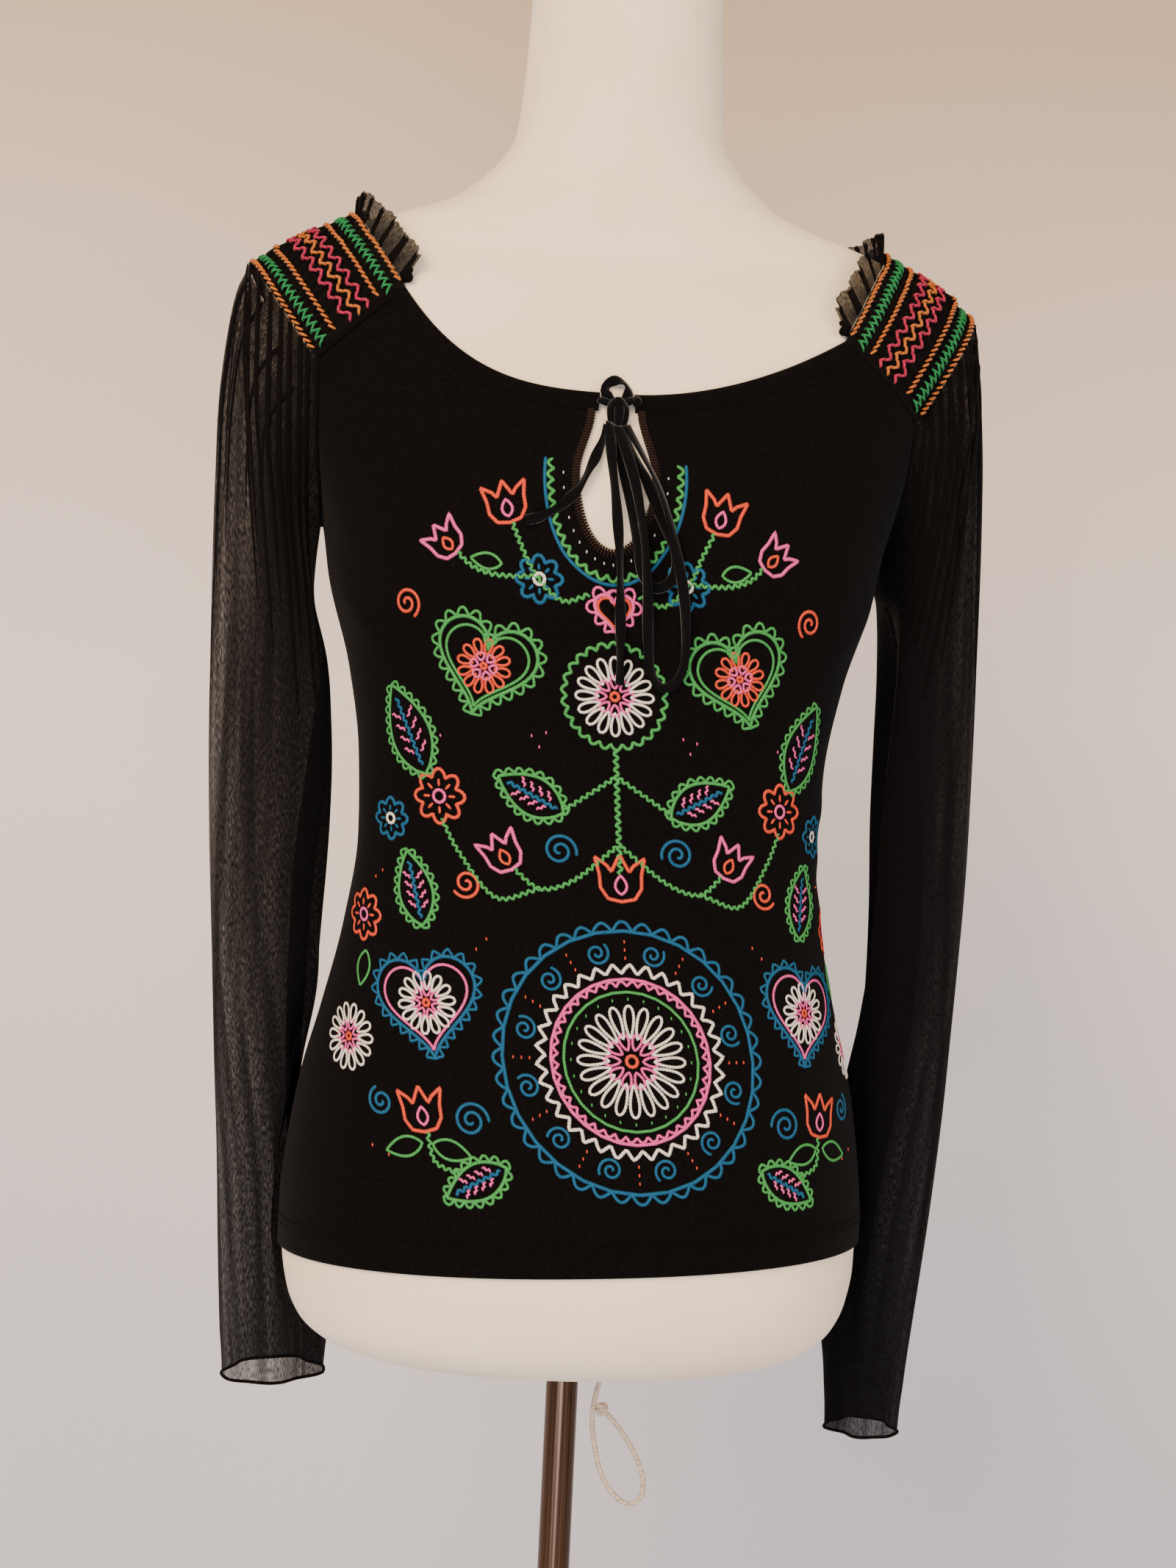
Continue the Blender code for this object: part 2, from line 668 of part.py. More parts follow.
def back_grid():
    """The back panel's points, from the wearer's left side round to the right."""
    last_turn = pi / 2 + SIDE_SEAM_TURN
    neck_x = neck_stations()
    neck_z = casing_seam_z(neck_x, behind=True)
    turns, heights = [], []
    for side, order in ((1, slice(None)), (-1, slice(None, None, -1))):
        part = np.linspace(1, 0, ARMHOLE_COLUMNS + 1)
        arm_turn, arm_z = armhole(side, part, behind=True)
        arm_turn[0] = side * last_turn
        seam_x = side * np.linspace(ARMHOLE_CORNER_X, PANEL_CORNER_X, SEAM_COLUMNS + 1)[1:-1]
        seam_z = shoulder_seam_z(seam_x, behind=True)
        seam_turn = turn_at(seam_x, seam_z, behind=True)
        turns.append(np.concatenate([arm_turn, seam_turn])[order] % (2 * pi))
        heights.append(np.concatenate([arm_z, seam_z])[order])
    neck_turn = turn_at(neck_x, neck_z, behind=True) % (2 * pi)
    top_turn = np.concatenate([turns[0], neck_turn, turns[1]])
    top_z = np.concatenate([heights[0], neck_z, heights[1]])
    hem_turn = np.linspace(last_turn, 2 * pi - last_turn, len(top_turn))
    hem_z = panel_foot_z(hem_turn)
    part = np.linspace(0, 1, BACK_ROWS + 1)[:, None] ** ROW_CROWDING
    return off_skin(blend(hem_turn, top_turn, part), blend(hem_z, top_z, part), SKIN_GAP)


def build_panels(collection, material):
    """Front, back and their hems."""
    add_cloth(collection, "front_panel", front_grid(), JERSEY, material)
    add_cloth(collection, "back_panel", back_grid(), JERSEY, material)
    quarter = pi / 2 - SIDE_SEAM_TURN
    for name, middle in (("hem_front", 0), ("hem_back", pi)):
        turn = np.linspace(middle - quarter, middle + quarter, HEM_COLUMNS)
        top = panel_foot_z(turn) - SEAM_GAP
        rows = np.stack([top - HEM_BAND + SEAM_GAP, top - HEM_BAND / 2, top])
        grid = off_skin(np.broadcast_to(turn, rows.shape), rows, SKIN_GAP)
        add_cloth(collection, name, grid, TURNED_JERSEY, material)


def build_casings(collection, material):
    """The turned neck edge, in one piece at the back and in two at the front."""
    for name, side in (("neck_casing_right", -1), ("neck_casing_left", 1), ("neck_casing_back", 0)):
        behind = side == 0
        lower_x = neck_stations(side)
        if not behind:
            lower_x[0] = KEYHOLE_X + side * CASING_END_HALF
        if side < 0:
            lower_x = lower_x[::-1]
        upper_x = lower_x * CASING_CORNER_X / PANEL_CORNER_X
        lower_z = casing_seam_z(lower_x, behind) + 1.5 * SEAM_GAP
        x = np.stack([lower_x, upper_x])
        z = np.stack([lower_z, neckline_z(upper_x, behind)])
        turn = turn_at(x, z, behind) % (2 * pi) if behind else turn_at(x, z)
        add_cloth(collection, name, off_skin(turn, z, SKIN_GAP), TURNED_JERSEY, material)


def smocking_point(side, part, over):
    """Points on the smocking's inner face, for the wearer's left. part runs from the neck edge, 0,
    to the sleeve, 1, and over runs from the front seam, -90 degrees, to the back seam."""
    part, over = np.broadcast_arrays(np.asarray(part, float), np.asarray(over, float))
    x = blend(CASING_CORNER_X, ARMHOLE_CORNER_X, part)
    slip = float(slip_of(side))
    front_z = blend(*FRONT_SEAM_Z, part) + slip + SHOULDER_GAP
    back_z = blend(*BACK_SEAM_Z, part) - slip + SHOULDER_GAP
    front = on_skin(turn_at(x, front_z), front_z)
    back = on_skin(turn_at(x, back_z, behind=True), back_z)
    middle = (front + back) / 2
    ridge = np.stack([blend(*RIDGE_X, part), 0 * part, blend(*RIDGE_Z, part)], axis=-1)
    up = unit(ridge - middle)
    along = np.where(over[..., None] < 0, unit(front - middle), unit(back - middle))
    ray = unit(up * np.cos(over)[..., None] + along * np.abs(np.sin(over))[..., None])
    skin = middle + ray * skin_distance(middle, ray)[..., None]
    lift = blend(*SMOCKING_LIFT, part)
    reach = np.linalg.norm(ridge - middle, axis=-1) - skin_distance(middle, up)
    puff = np.maximum(reach - lift, 0) * np.cos(over) ** 2
    return skin + outward(skin) * lift[..., None] + ray * puff[..., None]


def smocking_frame(side, part, over):
    """A point of the smocking's inner face, with the directions towards the sleeve and outwards."""
    probe = 0.01
    part, over = np.broadcast_arrays(np.asarray(part, float), np.asarray(over, float))
    ahead, behind = np.minimum(part + probe, 1), np.maximum(part - probe, 0)
    towards_sleeve = unit(smocking_point(side, ahead, over) - smocking_point(side, behind, over))
    later, sooner = np.minimum(over + probe, pi / 2), np.maximum(over - probe, -pi / 2)
    backwards = unit(smocking_point(side, part, later) - smocking_point(side, part, sooner))
    point = smocking_point(side, part, over)
    across = unit(np.cross(towards_sleeve, backwards))
    outwards = unit(blend(outward(point), across, np.cos(over)[..., None]))
    return point, towards_sleeve, outwards


def placed(side, grid):
    """A grid modelled for the wearer's left, put on its own side with its outer face outwards."""
    if side > 0:
        return grid
    return (grid * (-1, 1, 1))[:, ::-1]


def wall_between(inner, outer):
    """Points and faces of a closed wall between an inner and an outer grid of equal size."""
    rows, columns = inner.shape[:2]
    count = rows * columns
    points = np.concatenate([inner.reshape(-1, 3), outer.reshape(-1, 3)])
    number = np.arange(count).reshape(rows, columns)
    faces = []
    for row in range(rows - 1):
        for column in range(columns - 1):
            a, b = number[row, column], number[row, column + 1]
            c, d = number[row + 1, column + 1], number[row + 1, column]
            faces += [[a + count, b + count, c + count, d + count], [d, c, b, a]]
    rim = [*number[0, :], *number[1:, -1], *number[-1, -2::-1], *number[-2:0:-1, 0]]
    for first, second in zip(rim, rim[1:] + rim[:1]):
        faces.append([first, second, second + count, first + count])
    return points, [[int(corner) for corner in face] for face in faces]


def build_smocking(collection, name, side, material):
    """Pleats raised over a plain inside, held over the shoulder."""
    columns = np.arange(2 * SHOULDER_PLEATS + 1)
    over = np.linspace(-pi / 2, pi / 2, len(columns))
    part = np.linspace(0, 1, SMOCKING_ROWS + 1)[:, None]
    inner, _, outwards = smocking_frame(side, part, over)
    height = SMOCKED_WALL + PLEAT_RISE * (columns % 2)
    outer = inner + outwards * height[:, None]
    points, faces = wall_between(*(placed(side, grid)[::-1] for grid in (inner, outer)))
    mesh = mesh_of(name, points, faces)
    mesh.shade_flat()
    add_object(collection, name, mesh, material)


def build_ruffle(collection, name, side, material):
    """The waved free edge that stands along the neck side of the smocking."""
    columns = np.arange(2 * RUFFLE_WAVES + 1)
    over = np.linspace(-pi / 2, pi / 2, len(columns)) * RUFFLE_SPAN
    foot, towards_sleeve, outwards = smocking_frame(side, 0.0, over)
    foot = foot + outwards * (SMOCKED_WALL / 2) - towards_sleeve * (CHIFFON / 2 + SEAM_GAP)
    lean = blend(RUFFLE_LEAN_ENDS, RUFFLE_LEAN_RIDGE, np.cos(over) ** 2)[:, None]
    rise = np.sin(lean) * outwards - np.cos(lean) * towards_sleeve
    face = np.cos(lean) * outwards + np.sin(lean) * towards_sleeve
    swing = np.where(columns % 2, 1.0, -1.0)[:, None]
    rows = []
    for part in (0, 0.5, 1):
        rows.append(foot + rise * RUFFLE_HEIGHT * part + face * swing * RUFFLE_WAVE * part)
    grid = placed(side, np.array(rows)[::-1])
    add_cloth(collection, name, grid, CHIFFON, material, offset=0.0)


def sleeve_angles():
    """Angles round a sleeve: 90 degrees at the front, 0 outside, -90 behind and -180 inside."""
    head = np.linspace(pi / 2, -pi / 2, HEAD_STEPS, endpoint=False)
    under = np.linspace(-pi / 2, -3 * pi / 2, UNDERARM_STEPS, endpoint=False)
    return head, under


def sleeve_root(side):
    """The sleeve's first ring: along the smocking's edge, then round the armhole."""
    head, under = sleeve_angles()
    point, towards_sleeve, outwards = smocking_frame(side, 1.0, -head)
    top = point + outwards * (SMOCKED_WALL + PLEAT_RISE / 2) + towards_sleeve * (CHIFFON + SEAM_GAP)
    part = 1 - np.abs(under + pi) / (pi / 2)
    ring = [*top]
    for angle, share in zip(under, part):
        behind = bool(angle > -pi)
        turn, z = armhole(side, share, behind)
        beyond = radians(0.4) * (1 - share) * (-1 if behind else 1)
        ring.append(off_skin(turn * side + beyond, z + SHOULDER_GAP, SKIN_GAP + JERSEY + SEAM_GAP))
    return np.array(ring)


def clear_of_form(points):
    """Points moved out, where they must be, until they are clear of the body of the top."""
    away = points * (1, 1, 0)
    radius = np.linalg.norm(away, axis=-1, keepdims=True)
    gap = radius * (1 - 1 / skin_value(points))[:, None]
    return points + away / radius * np.maximum(SLEEVE_CLEARANCE - gap, 0)


def sleeve_ring(row, gather, cuff):
    """One ring of a sleeve, from its row of the table."""
    head, under = sleeve_angles()
    angle = np.concatenate([head, under])[:, None]
    outer, inner = np.array(row.outer), np.array(row.inner)
    middle, half = (outer + inner) / 2, (outer - inner) / 2
    along = unit(half)
    forward = np.array([0.0, -1.0, 0.0])
    forward = unit(forward - along * forward.dot(along))
    points = middle + half * np.cos(angle) + forward * np.sin(angle) * row.depth / 2
    away = unit(points - middle)
    off_inside = np.abs((angle + pi + pi) % (2 * pi) - pi)
    fold = np.where(off_inside < GROOVE_HALF_ANGLE, np.cos(off_inside / GROOVE_HALF_ANGLE * pi / 2), 0)
    points = points + along * row.groove * fold**2
    pleat = np.zeros(len(angle))
    pleat[1 : len(head)] = np.where(np.arange(1, len(head)) % 2, 1.0, -1.0)
    points = points + away * gather * pleat[:, None]
    if cuff:
        points = points + away * CUFF_WAVE * np.cos(CUFF_WAVES * angle)
    return clear_of_form(points)


def build_sleeve(collection, name, side, material):
    """A sleeve: a tube from the smocking and the armhole down past the hip."""
    rows = SLEEVE_RINGS["left" if side > 0 else "right"]
    rings = [sleeve_root(side)]
    for number, row in enumerate(rows, start=1):
        gather = HEAD_GATHERS[number] if number < len(HEAD_GATHERS) else 0.0
        rings.append(sleeve_ring(row, gather, cuff=row is rows[-1]))
    grid = placed(side, np.array(rings))[::-1]
    add_cloth(collection, name, grid, CHIFFON, material, wrap=True, offset=-1.0)


def smooth_route(points, spacing):
    """Points at an even spacing on a smooth curve through a cord's own points."""
    points = np.array(points, float)
    padded = np.concatenate([2 * points[:1] - points[1:2], points, 2 * points[-1:] - points[-2:-1]])
    dense = []
    for before, start, end, after in zip(padded, padded[1:], padded[2:], padded[3:]):
        for t in np.linspace(0, 1, ROUTE_STEPS, endpoint=False):
            straight = 2 * start + (end - before) * t
            bend = (2 * before - 5 * start + 4 * end - after) * t * t
            twist = (3 * start - before - 3 * end + after) * t**3
            dense.append((straight + bend + twist) / 2)
    dense = np.array([*dense, points[-1]])
    walked = np.concatenate([[0], np.cumsum(np.linalg.norm(np.diff(dense, axis=0), axis=1))])
    stops = np.linspace(0, walked[-1], int(round(walked[-1] / spacing)) + 1)
    return np.stack([np.interp(stops, walked, dense[:, axis]) for axis in range(3)], axis=-1)


def add_tube(collection, name, points, radius, material):
    """A round cord along a route, with closed ends."""
    curve = bpy.data.curves.new(name, "CURVE")
    curve.dimensions = "3D"
    curve.bevel_depth = radius
    curve.bevel_resolution = 2
    curve.use_fill_caps = True
    spline = curve.splines.new("POLY")
    spline.points.add(len(points) - 1)
    for target, point in zip(spline.points, points):
        target.co = (*point, 1.0)
    add_object(collection, name, curve, material)


def front_point(x, z, lift):
    """A point in front of the form, at a distance off its skin."""
    return off_skin(turn_at(x, z), z, lift)


def build_ties(collection, material):
    """The ribbon's knot over the keyhole, and its loops and tails."""
    rings = []
    mirrored = [row._replace(offset=-row.offset) for row in KNOT_HALF[:0:-1]]
    swing = np.linspace(0, 2 * pi, KNOT_STEPS, endpoint=False)
    for row in mirrored + KNOT_HALF:
        centre = front_point(KEYHOLE_X + row.offset, KNOT_Z, row.lift)
        ring = np.zeros((KNOT_STEPS, 3))
        ring[:, 1] = row.half_depth * np.cos(swing)
        ring[:, 2] = row.half_height * np.sin(swing)
        rings.append(centre + ring)
    points, faces = loft(rings)
    add_object(collection, "tie_knot", mesh_of("tie_knot", points, faces), material)
    for name, route in RIBBON_ROUTES.items():
        points = [front_point(np.float64(stop.x), np.float64(stop.z), stop.lift) for stop in route]
        spacing = SMALL_LOOP_SPACING if name == "tie_loop_small" else RIBBON_SPACING
        add_tube(collection, name, smooth_route(points, spacing), RIBBON_TUBE_RADIUS, material)


def main():
    """Build every piece."""
    clear_hierarchy()
    collection = bpy.data.collections.new("long_sleeved_top_on_dress_form")
    bpy.context.scene.collection.children.link(collection)
    jersey = make_material("black_jersey", (0.010, 0.008, 0.008), 0.9)
    chiffon = make_material("black_chiffon", (0.035, 0.033, 0.034), 0.7)
    velvet = make_material("black_velvet", (0.006, 0.006, 0.007), 0.8)
    cover = make_material("cream_cover", (0.78, 0.70, 0.58), 0.9)
    cotton = make_material("cream_cotton", (0.70, 0.64, 0.52), 0.9)
    bronze = make_material("bronzed_steel", (0.09, 0.055, 0.035), 0.3, 1.0)

    build_form(collection, cover)
    build_stand(collection, bronze)
    build_panels(collection, jersey)
    build_casings(collection, jersey)
    for word, side in (("right", -1), ("left", 1)):
        build_smocking(collection, f"smocking_{word}", side, chiffon)
        build_ruffle(collection, f"neck_ruffle_{word}", side, chiffon)
        build_sleeve(collection, f"sleeve_{word}", side, chiffon)
    build_ties(collection, velvet)
    route = smooth_route(DRAWSTRING_ROUTE, DRAWSTRING_SPACING)
    add_tube(collection, "form_drawstring", route, DRAWSTRING_RADIUS, cotton)


main()
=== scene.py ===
"""The looks of a long-sleeved top on a dress form.

The top has a close-fitting cotton jersey body, smocked and embroidered chiffon shoulders, sheer
chiffon sleeves and a velvet ribbon tied over a keyhole. It is worn by a limbless dress form on a
pole. Units are metres, Z is up, the wearer's front faces -Y and the wearer's left is +X. A turn is
an angle round the form: 0 at the centre front and 90 degrees at the wearer's left side.
"""

import logging
from dataclasses import dataclass
from enum import Enum
from math import cos, pi, radians, sin

import bpy
import numpy as np
from mathutils import Matrix, Vector


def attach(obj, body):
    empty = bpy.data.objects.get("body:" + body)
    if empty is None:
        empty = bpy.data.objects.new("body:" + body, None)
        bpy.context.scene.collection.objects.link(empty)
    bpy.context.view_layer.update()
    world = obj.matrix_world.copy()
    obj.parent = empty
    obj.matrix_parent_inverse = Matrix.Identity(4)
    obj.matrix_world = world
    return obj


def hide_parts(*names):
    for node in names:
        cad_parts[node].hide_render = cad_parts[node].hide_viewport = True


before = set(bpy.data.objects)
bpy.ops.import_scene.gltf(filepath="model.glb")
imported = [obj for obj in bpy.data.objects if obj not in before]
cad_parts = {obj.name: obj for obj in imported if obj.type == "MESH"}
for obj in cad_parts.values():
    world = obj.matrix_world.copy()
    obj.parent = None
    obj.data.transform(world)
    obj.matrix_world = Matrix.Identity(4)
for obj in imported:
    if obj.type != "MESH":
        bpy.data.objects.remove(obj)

log = logging.getLogger("top_on_form")

Array = np.ndarray

SLEEVE_UV_WIDTH = 0.28  # How wide a sleeve's UV map is, once round it.


class Side(Enum):
    """The wearer's sides, with the sign of X on each."""

    RIGHT = -1
    LEFT = 1

    @property
    def word(self) -> str:
        """The side's name as the pieces carry it."""
        return self.name.lower()


def linear(code: str) -> tuple[float, float, float, float]:
    """Turn an sRGB hex colour to the linear values that shaders take.

    Args:
        code: Six hex digits.

    Returns:
        Red, green, blue and an alpha of 1.
    """
    shares = [int(code[i : i + 2], 16) / 255 for i in (0, 2, 4)]
    red, green, blue = (c / 12.92 if c <= 0.04045 else ((c + 0.055) / 1.055) ** 2.4 for c in shares)
    return red, green, blue, 1.0


def blend(start: Array, end: Array, part: Array) -> Array:
    """The value a part of the way from start to end."""
    return start + (end - start) * part


def ease(low: float, high: float, value: Array) -> Array:
    """Rise smoothly from 0 at low to 1 at high."""
    part = np.clip((np.asarray(value, float) - low) / (high - low), 0, 1)
    return part * part * (3 - 2 * part)


def unit(vectors: Array) -> Array:
    """Vectors brought to length 1."""
    return vectors / np.maximum(np.linalg.norm(vectors, axis=-1, keepdims=True), 1e-12)


def walked_along(points: Array) -> Array:
    """How far each point is along a line, in metres."""
    return np.concatenate([[0], np.cumsum(np.linalg.norm(np.diff(points, axis=0), axis=1))])


def ahead_of(points: Array, closed: bool) -> Array:
    """The way along a line at each of its points, not brought to length 1."""
    return np.roll(points, -1, axis=0) - np.roll(points, 1, axis=0) if closed else np.gradient(points, axis=0)


def read_at(stops: Array, walked: Array, rows: Array) -> Array:
    """Rows of numbers, read at some distances along their line."""
    return np.stack([np.interp(stops, walked, column) for column in rows.T], axis=-1)


def smooth_route(points: Array, spacing: float) -> Array:
    """Read evenly spaced points from a smooth curve through a route's own points.

    Args:
        points: The route's points.
        spacing: Distance between the points returned.

    Returns:
        The points on the curve, its two ends included.
    """
    points = np.array(points, float)
    padded = np.concatenate([2 * points[:1] - points[1:2], points, 2 * points[-1:] - points[-2:-1]])
    dense = []
    for before, start, end, after in zip(padded, padded[1:], padded[2:], padded[3:]):
        for t in np.linspace(0, 1, 20, endpoint=False):
            straight = 2 * start + (end - before) * t
            bend = (2 * before - 5 * start + 4 * end - after) * t * t
            twist = (3 * start - before - 3 * end + after) * t**3
            dense.append((straight + bend + twist) / 2)
    dense = np.array([*dense, points[-1]])
    walked = walked_along(dense)
    stops = np.linspace(0, walked[-1], max(int(round(walked[-1] / spacing)), 1) + 1)
    return read_at(stops, walked, dense)


@dataclass(frozen=True)
class FormShape:
    """The dress form's skin: level cuts, each with a half width, a depth to the front and to the
    back, and a power that is 2 for an ellipse and higher for a boxier cut."""

    cuts: tuple = (
        (0.728, 0.1050, 0.062, 0.064, 2.2),
        (0.732, 0.1250, 0.076, 0.078, 2.2),
        (0.740, 0.1450, 0.092, 0.095, 2.2),
        (0.752, 0.1585, 0.103, 0.107, 2.2),
        (0.768, 0.1655, 0.111, 0.117, 2.2),
        (0.790, 0.1690, 0.116, 0.122, 2.2),
        (0.820, 0.1695, 0.116, 0.124, 2.2),
        (0.850, 0.1670, 0.112, 0.122, 2.2),
        (0.890, 0.1610, 0.106, 0.116, 2.2),
        (0.930, 0.1510, 0.098, 0.104, 2.2),
        (0.980, 0.1400, 0.090, 0.090, 2.2),
        (1.030, 0.1340, 0.087, 0.082, 2.2),
        (1.080, 0.1360, 0.092, 0.082, 2.2),
        (1.130, 0.1440, 0.104, 0.086, 2.3),
        (1.180, 0.1580, 0.120, 0.092, 2.4),
        (1.210, 0.1630, 0.122, 0.096, 2.5),
        (1.250, 0.1740, 0.112, 0.099, 2.8),
        (1.290, 0.1850, 0.096, 0.098, 3.0),
        (1.320, 0.1990, 0.083, 0.094, 3.0),
        (1.345, 0.2050, 0.072, 0.087, 2.8),
        (1.361, 0.2030, 0.063, 0.077, 2.5),
        (1.3675, 0.1940, 0.060, 0.072, 2.4),
        (1.375, 0.1810, 0.0585, 0.070, 2.4),
        (1.382, 0.1650, 0.0575, 0.068, 2.3),
        (1.3885, 0.1470, 0.057, 0.066, 2.3),
        (1.394, 0.1300, 0.0565, 0.065, 2.2),
        (1.400, 0.1120, 0.056, 0.064, 2.2),
        (1.407, 0.0980, 0.055, 0.063, 2.1),
        (1.417, 0.0850, 0.054, 0.062, 2.1),
        (1.430, 0.0725, 0.053, 0.060, 2.0),
        (1.447, 0.0630, 0.053, 0.057, 2.0),
        (1.470, 0.0600, 0.053, 0.054, 2.0),
        (1.510, 0.0575, 0.052, 0.052, 2.0),
        (1.545, 0.0560, 0.0515, 0.0515, 2.0),
        (1.555, 0.0530, 0.049, 0.049, 2.0),
        (1.559, 0.0440, 0.041, 0.041, 2.0),
    )

    def cut_at(self, z: Array) -> Array:
        """Half width, front depth, back depth and power at each height."""
        heights = np.array([cut[0] for cut in self.cuts])
        columns = np.array([cut[1:] for cut in self.cuts])
        rises = np.diff(columns, axis=0) / np.diff(heights)[:, None]
        slopes = np.concatenate([rises[:1], np.zeros_like(rises[1:]), rises[-1:]])
        both = rises[:-1] * rises[1:]
        total = np.where(both > 0, rises[:-1] + rises[1:], 1.0)
        slopes[1:-1] = np.where(both > 0, 2 * both / total, 0.0)
        z = np.clip(np.asarray(z, float), heights[0], heights[-1])
        i = np.clip(np.searchsorted(heights, z) - 1, 0, len(heights) - 2)
        step = (heights[i + 1] - heights[i])[..., None]
        t = (z - heights[i])[..., None] / step
        low = (1 + 2 * t) * columns[i] + t * step * slopes[i]
        high = (3 - 2 * t) * columns[i + 1] - (1 - t) * step * slopes[i + 1]
        return np.moveaxis((1 - t) ** 2 * low + t**2 * high, -1, 0)

    def on_skin(self, turn: Array, z: Array) -> Array:
        """Points on the skin."""
        turn, z = np.broadcast_arrays(np.asarray(turn, float), np.asarray(z, float))
        half_width, front, back, power = self.cut_at(z)
        across, ahead = np.sin(turn), np.cos(turn)
        reach = (np.abs(across) ** power + np.abs(ahead) ** power) ** (-1 / power)
        depth = np.where(ahead > 0, front, back)
        return np.stack([half_width * reach * across, -depth * reach * ahead, z], axis=-1)

    def skin_value(self, points: Array) -> Array:
        """1 on the skin, less inside it and more outside."""
        x, y, z = np.moveaxis(np.asarray(points, float), -1, 0)
        half_width, front, back, power = self.cut_at(z)
        depth = np.where(y < 0, front, back)
        return ((np.abs(x) / half_width) ** power + (np.abs(y) / depth) ** power) ** (1 / power)

    def outward(self, points: Array) -> Array:
        """Directions straight out of the skin."""
        probe = 0.0005
        steps = np.eye(3) * probe
        changes = [self.skin_value(points + s) - self.skin_value(points - s) for s in steps]
        return unit(np.stack(changes, axis=-1))

    def off_skin(self, turn: Array, z: Array, lift: Array) -> Array:
        """Points at a distance off the skin."""
        skin = self.on_skin(turn, z)
        return skin + self.outward(skin) * np.asarray(lift, float)[..., None]

    def turn_at(self, x: Array, z: Array, behind: bool = False) -> Array:
        """The turn at which the skin reaches x, at the front or behind."""
        half_width, _, _, power = self.cut_at(z)
        across = np.clip(np.abs(x) / half_width, 0, 1)
        turn = np.copysign(np.arctan2(across, (1 - across**power) ** (1 / power)), x)
        return np.copysign(pi, x) - turn if behind else turn

    def distance_inside(self, origin: Array, direction: Array) -> Array:
        """How far the skin is from points inside the form, along each direction."""
        near = np.zeros(direction.shape[:-1])
        far = np.full(direction.shape[:-1], 0.3)
        for _ in range(40):
            middle = (near + far) / 2
            inside = self.skin_value(origin + direction * middle[..., None]) < 1
            near, far = np.where(inside, middle, near), np.where(inside, far, middle)
        return near


SKIN = FormShape()


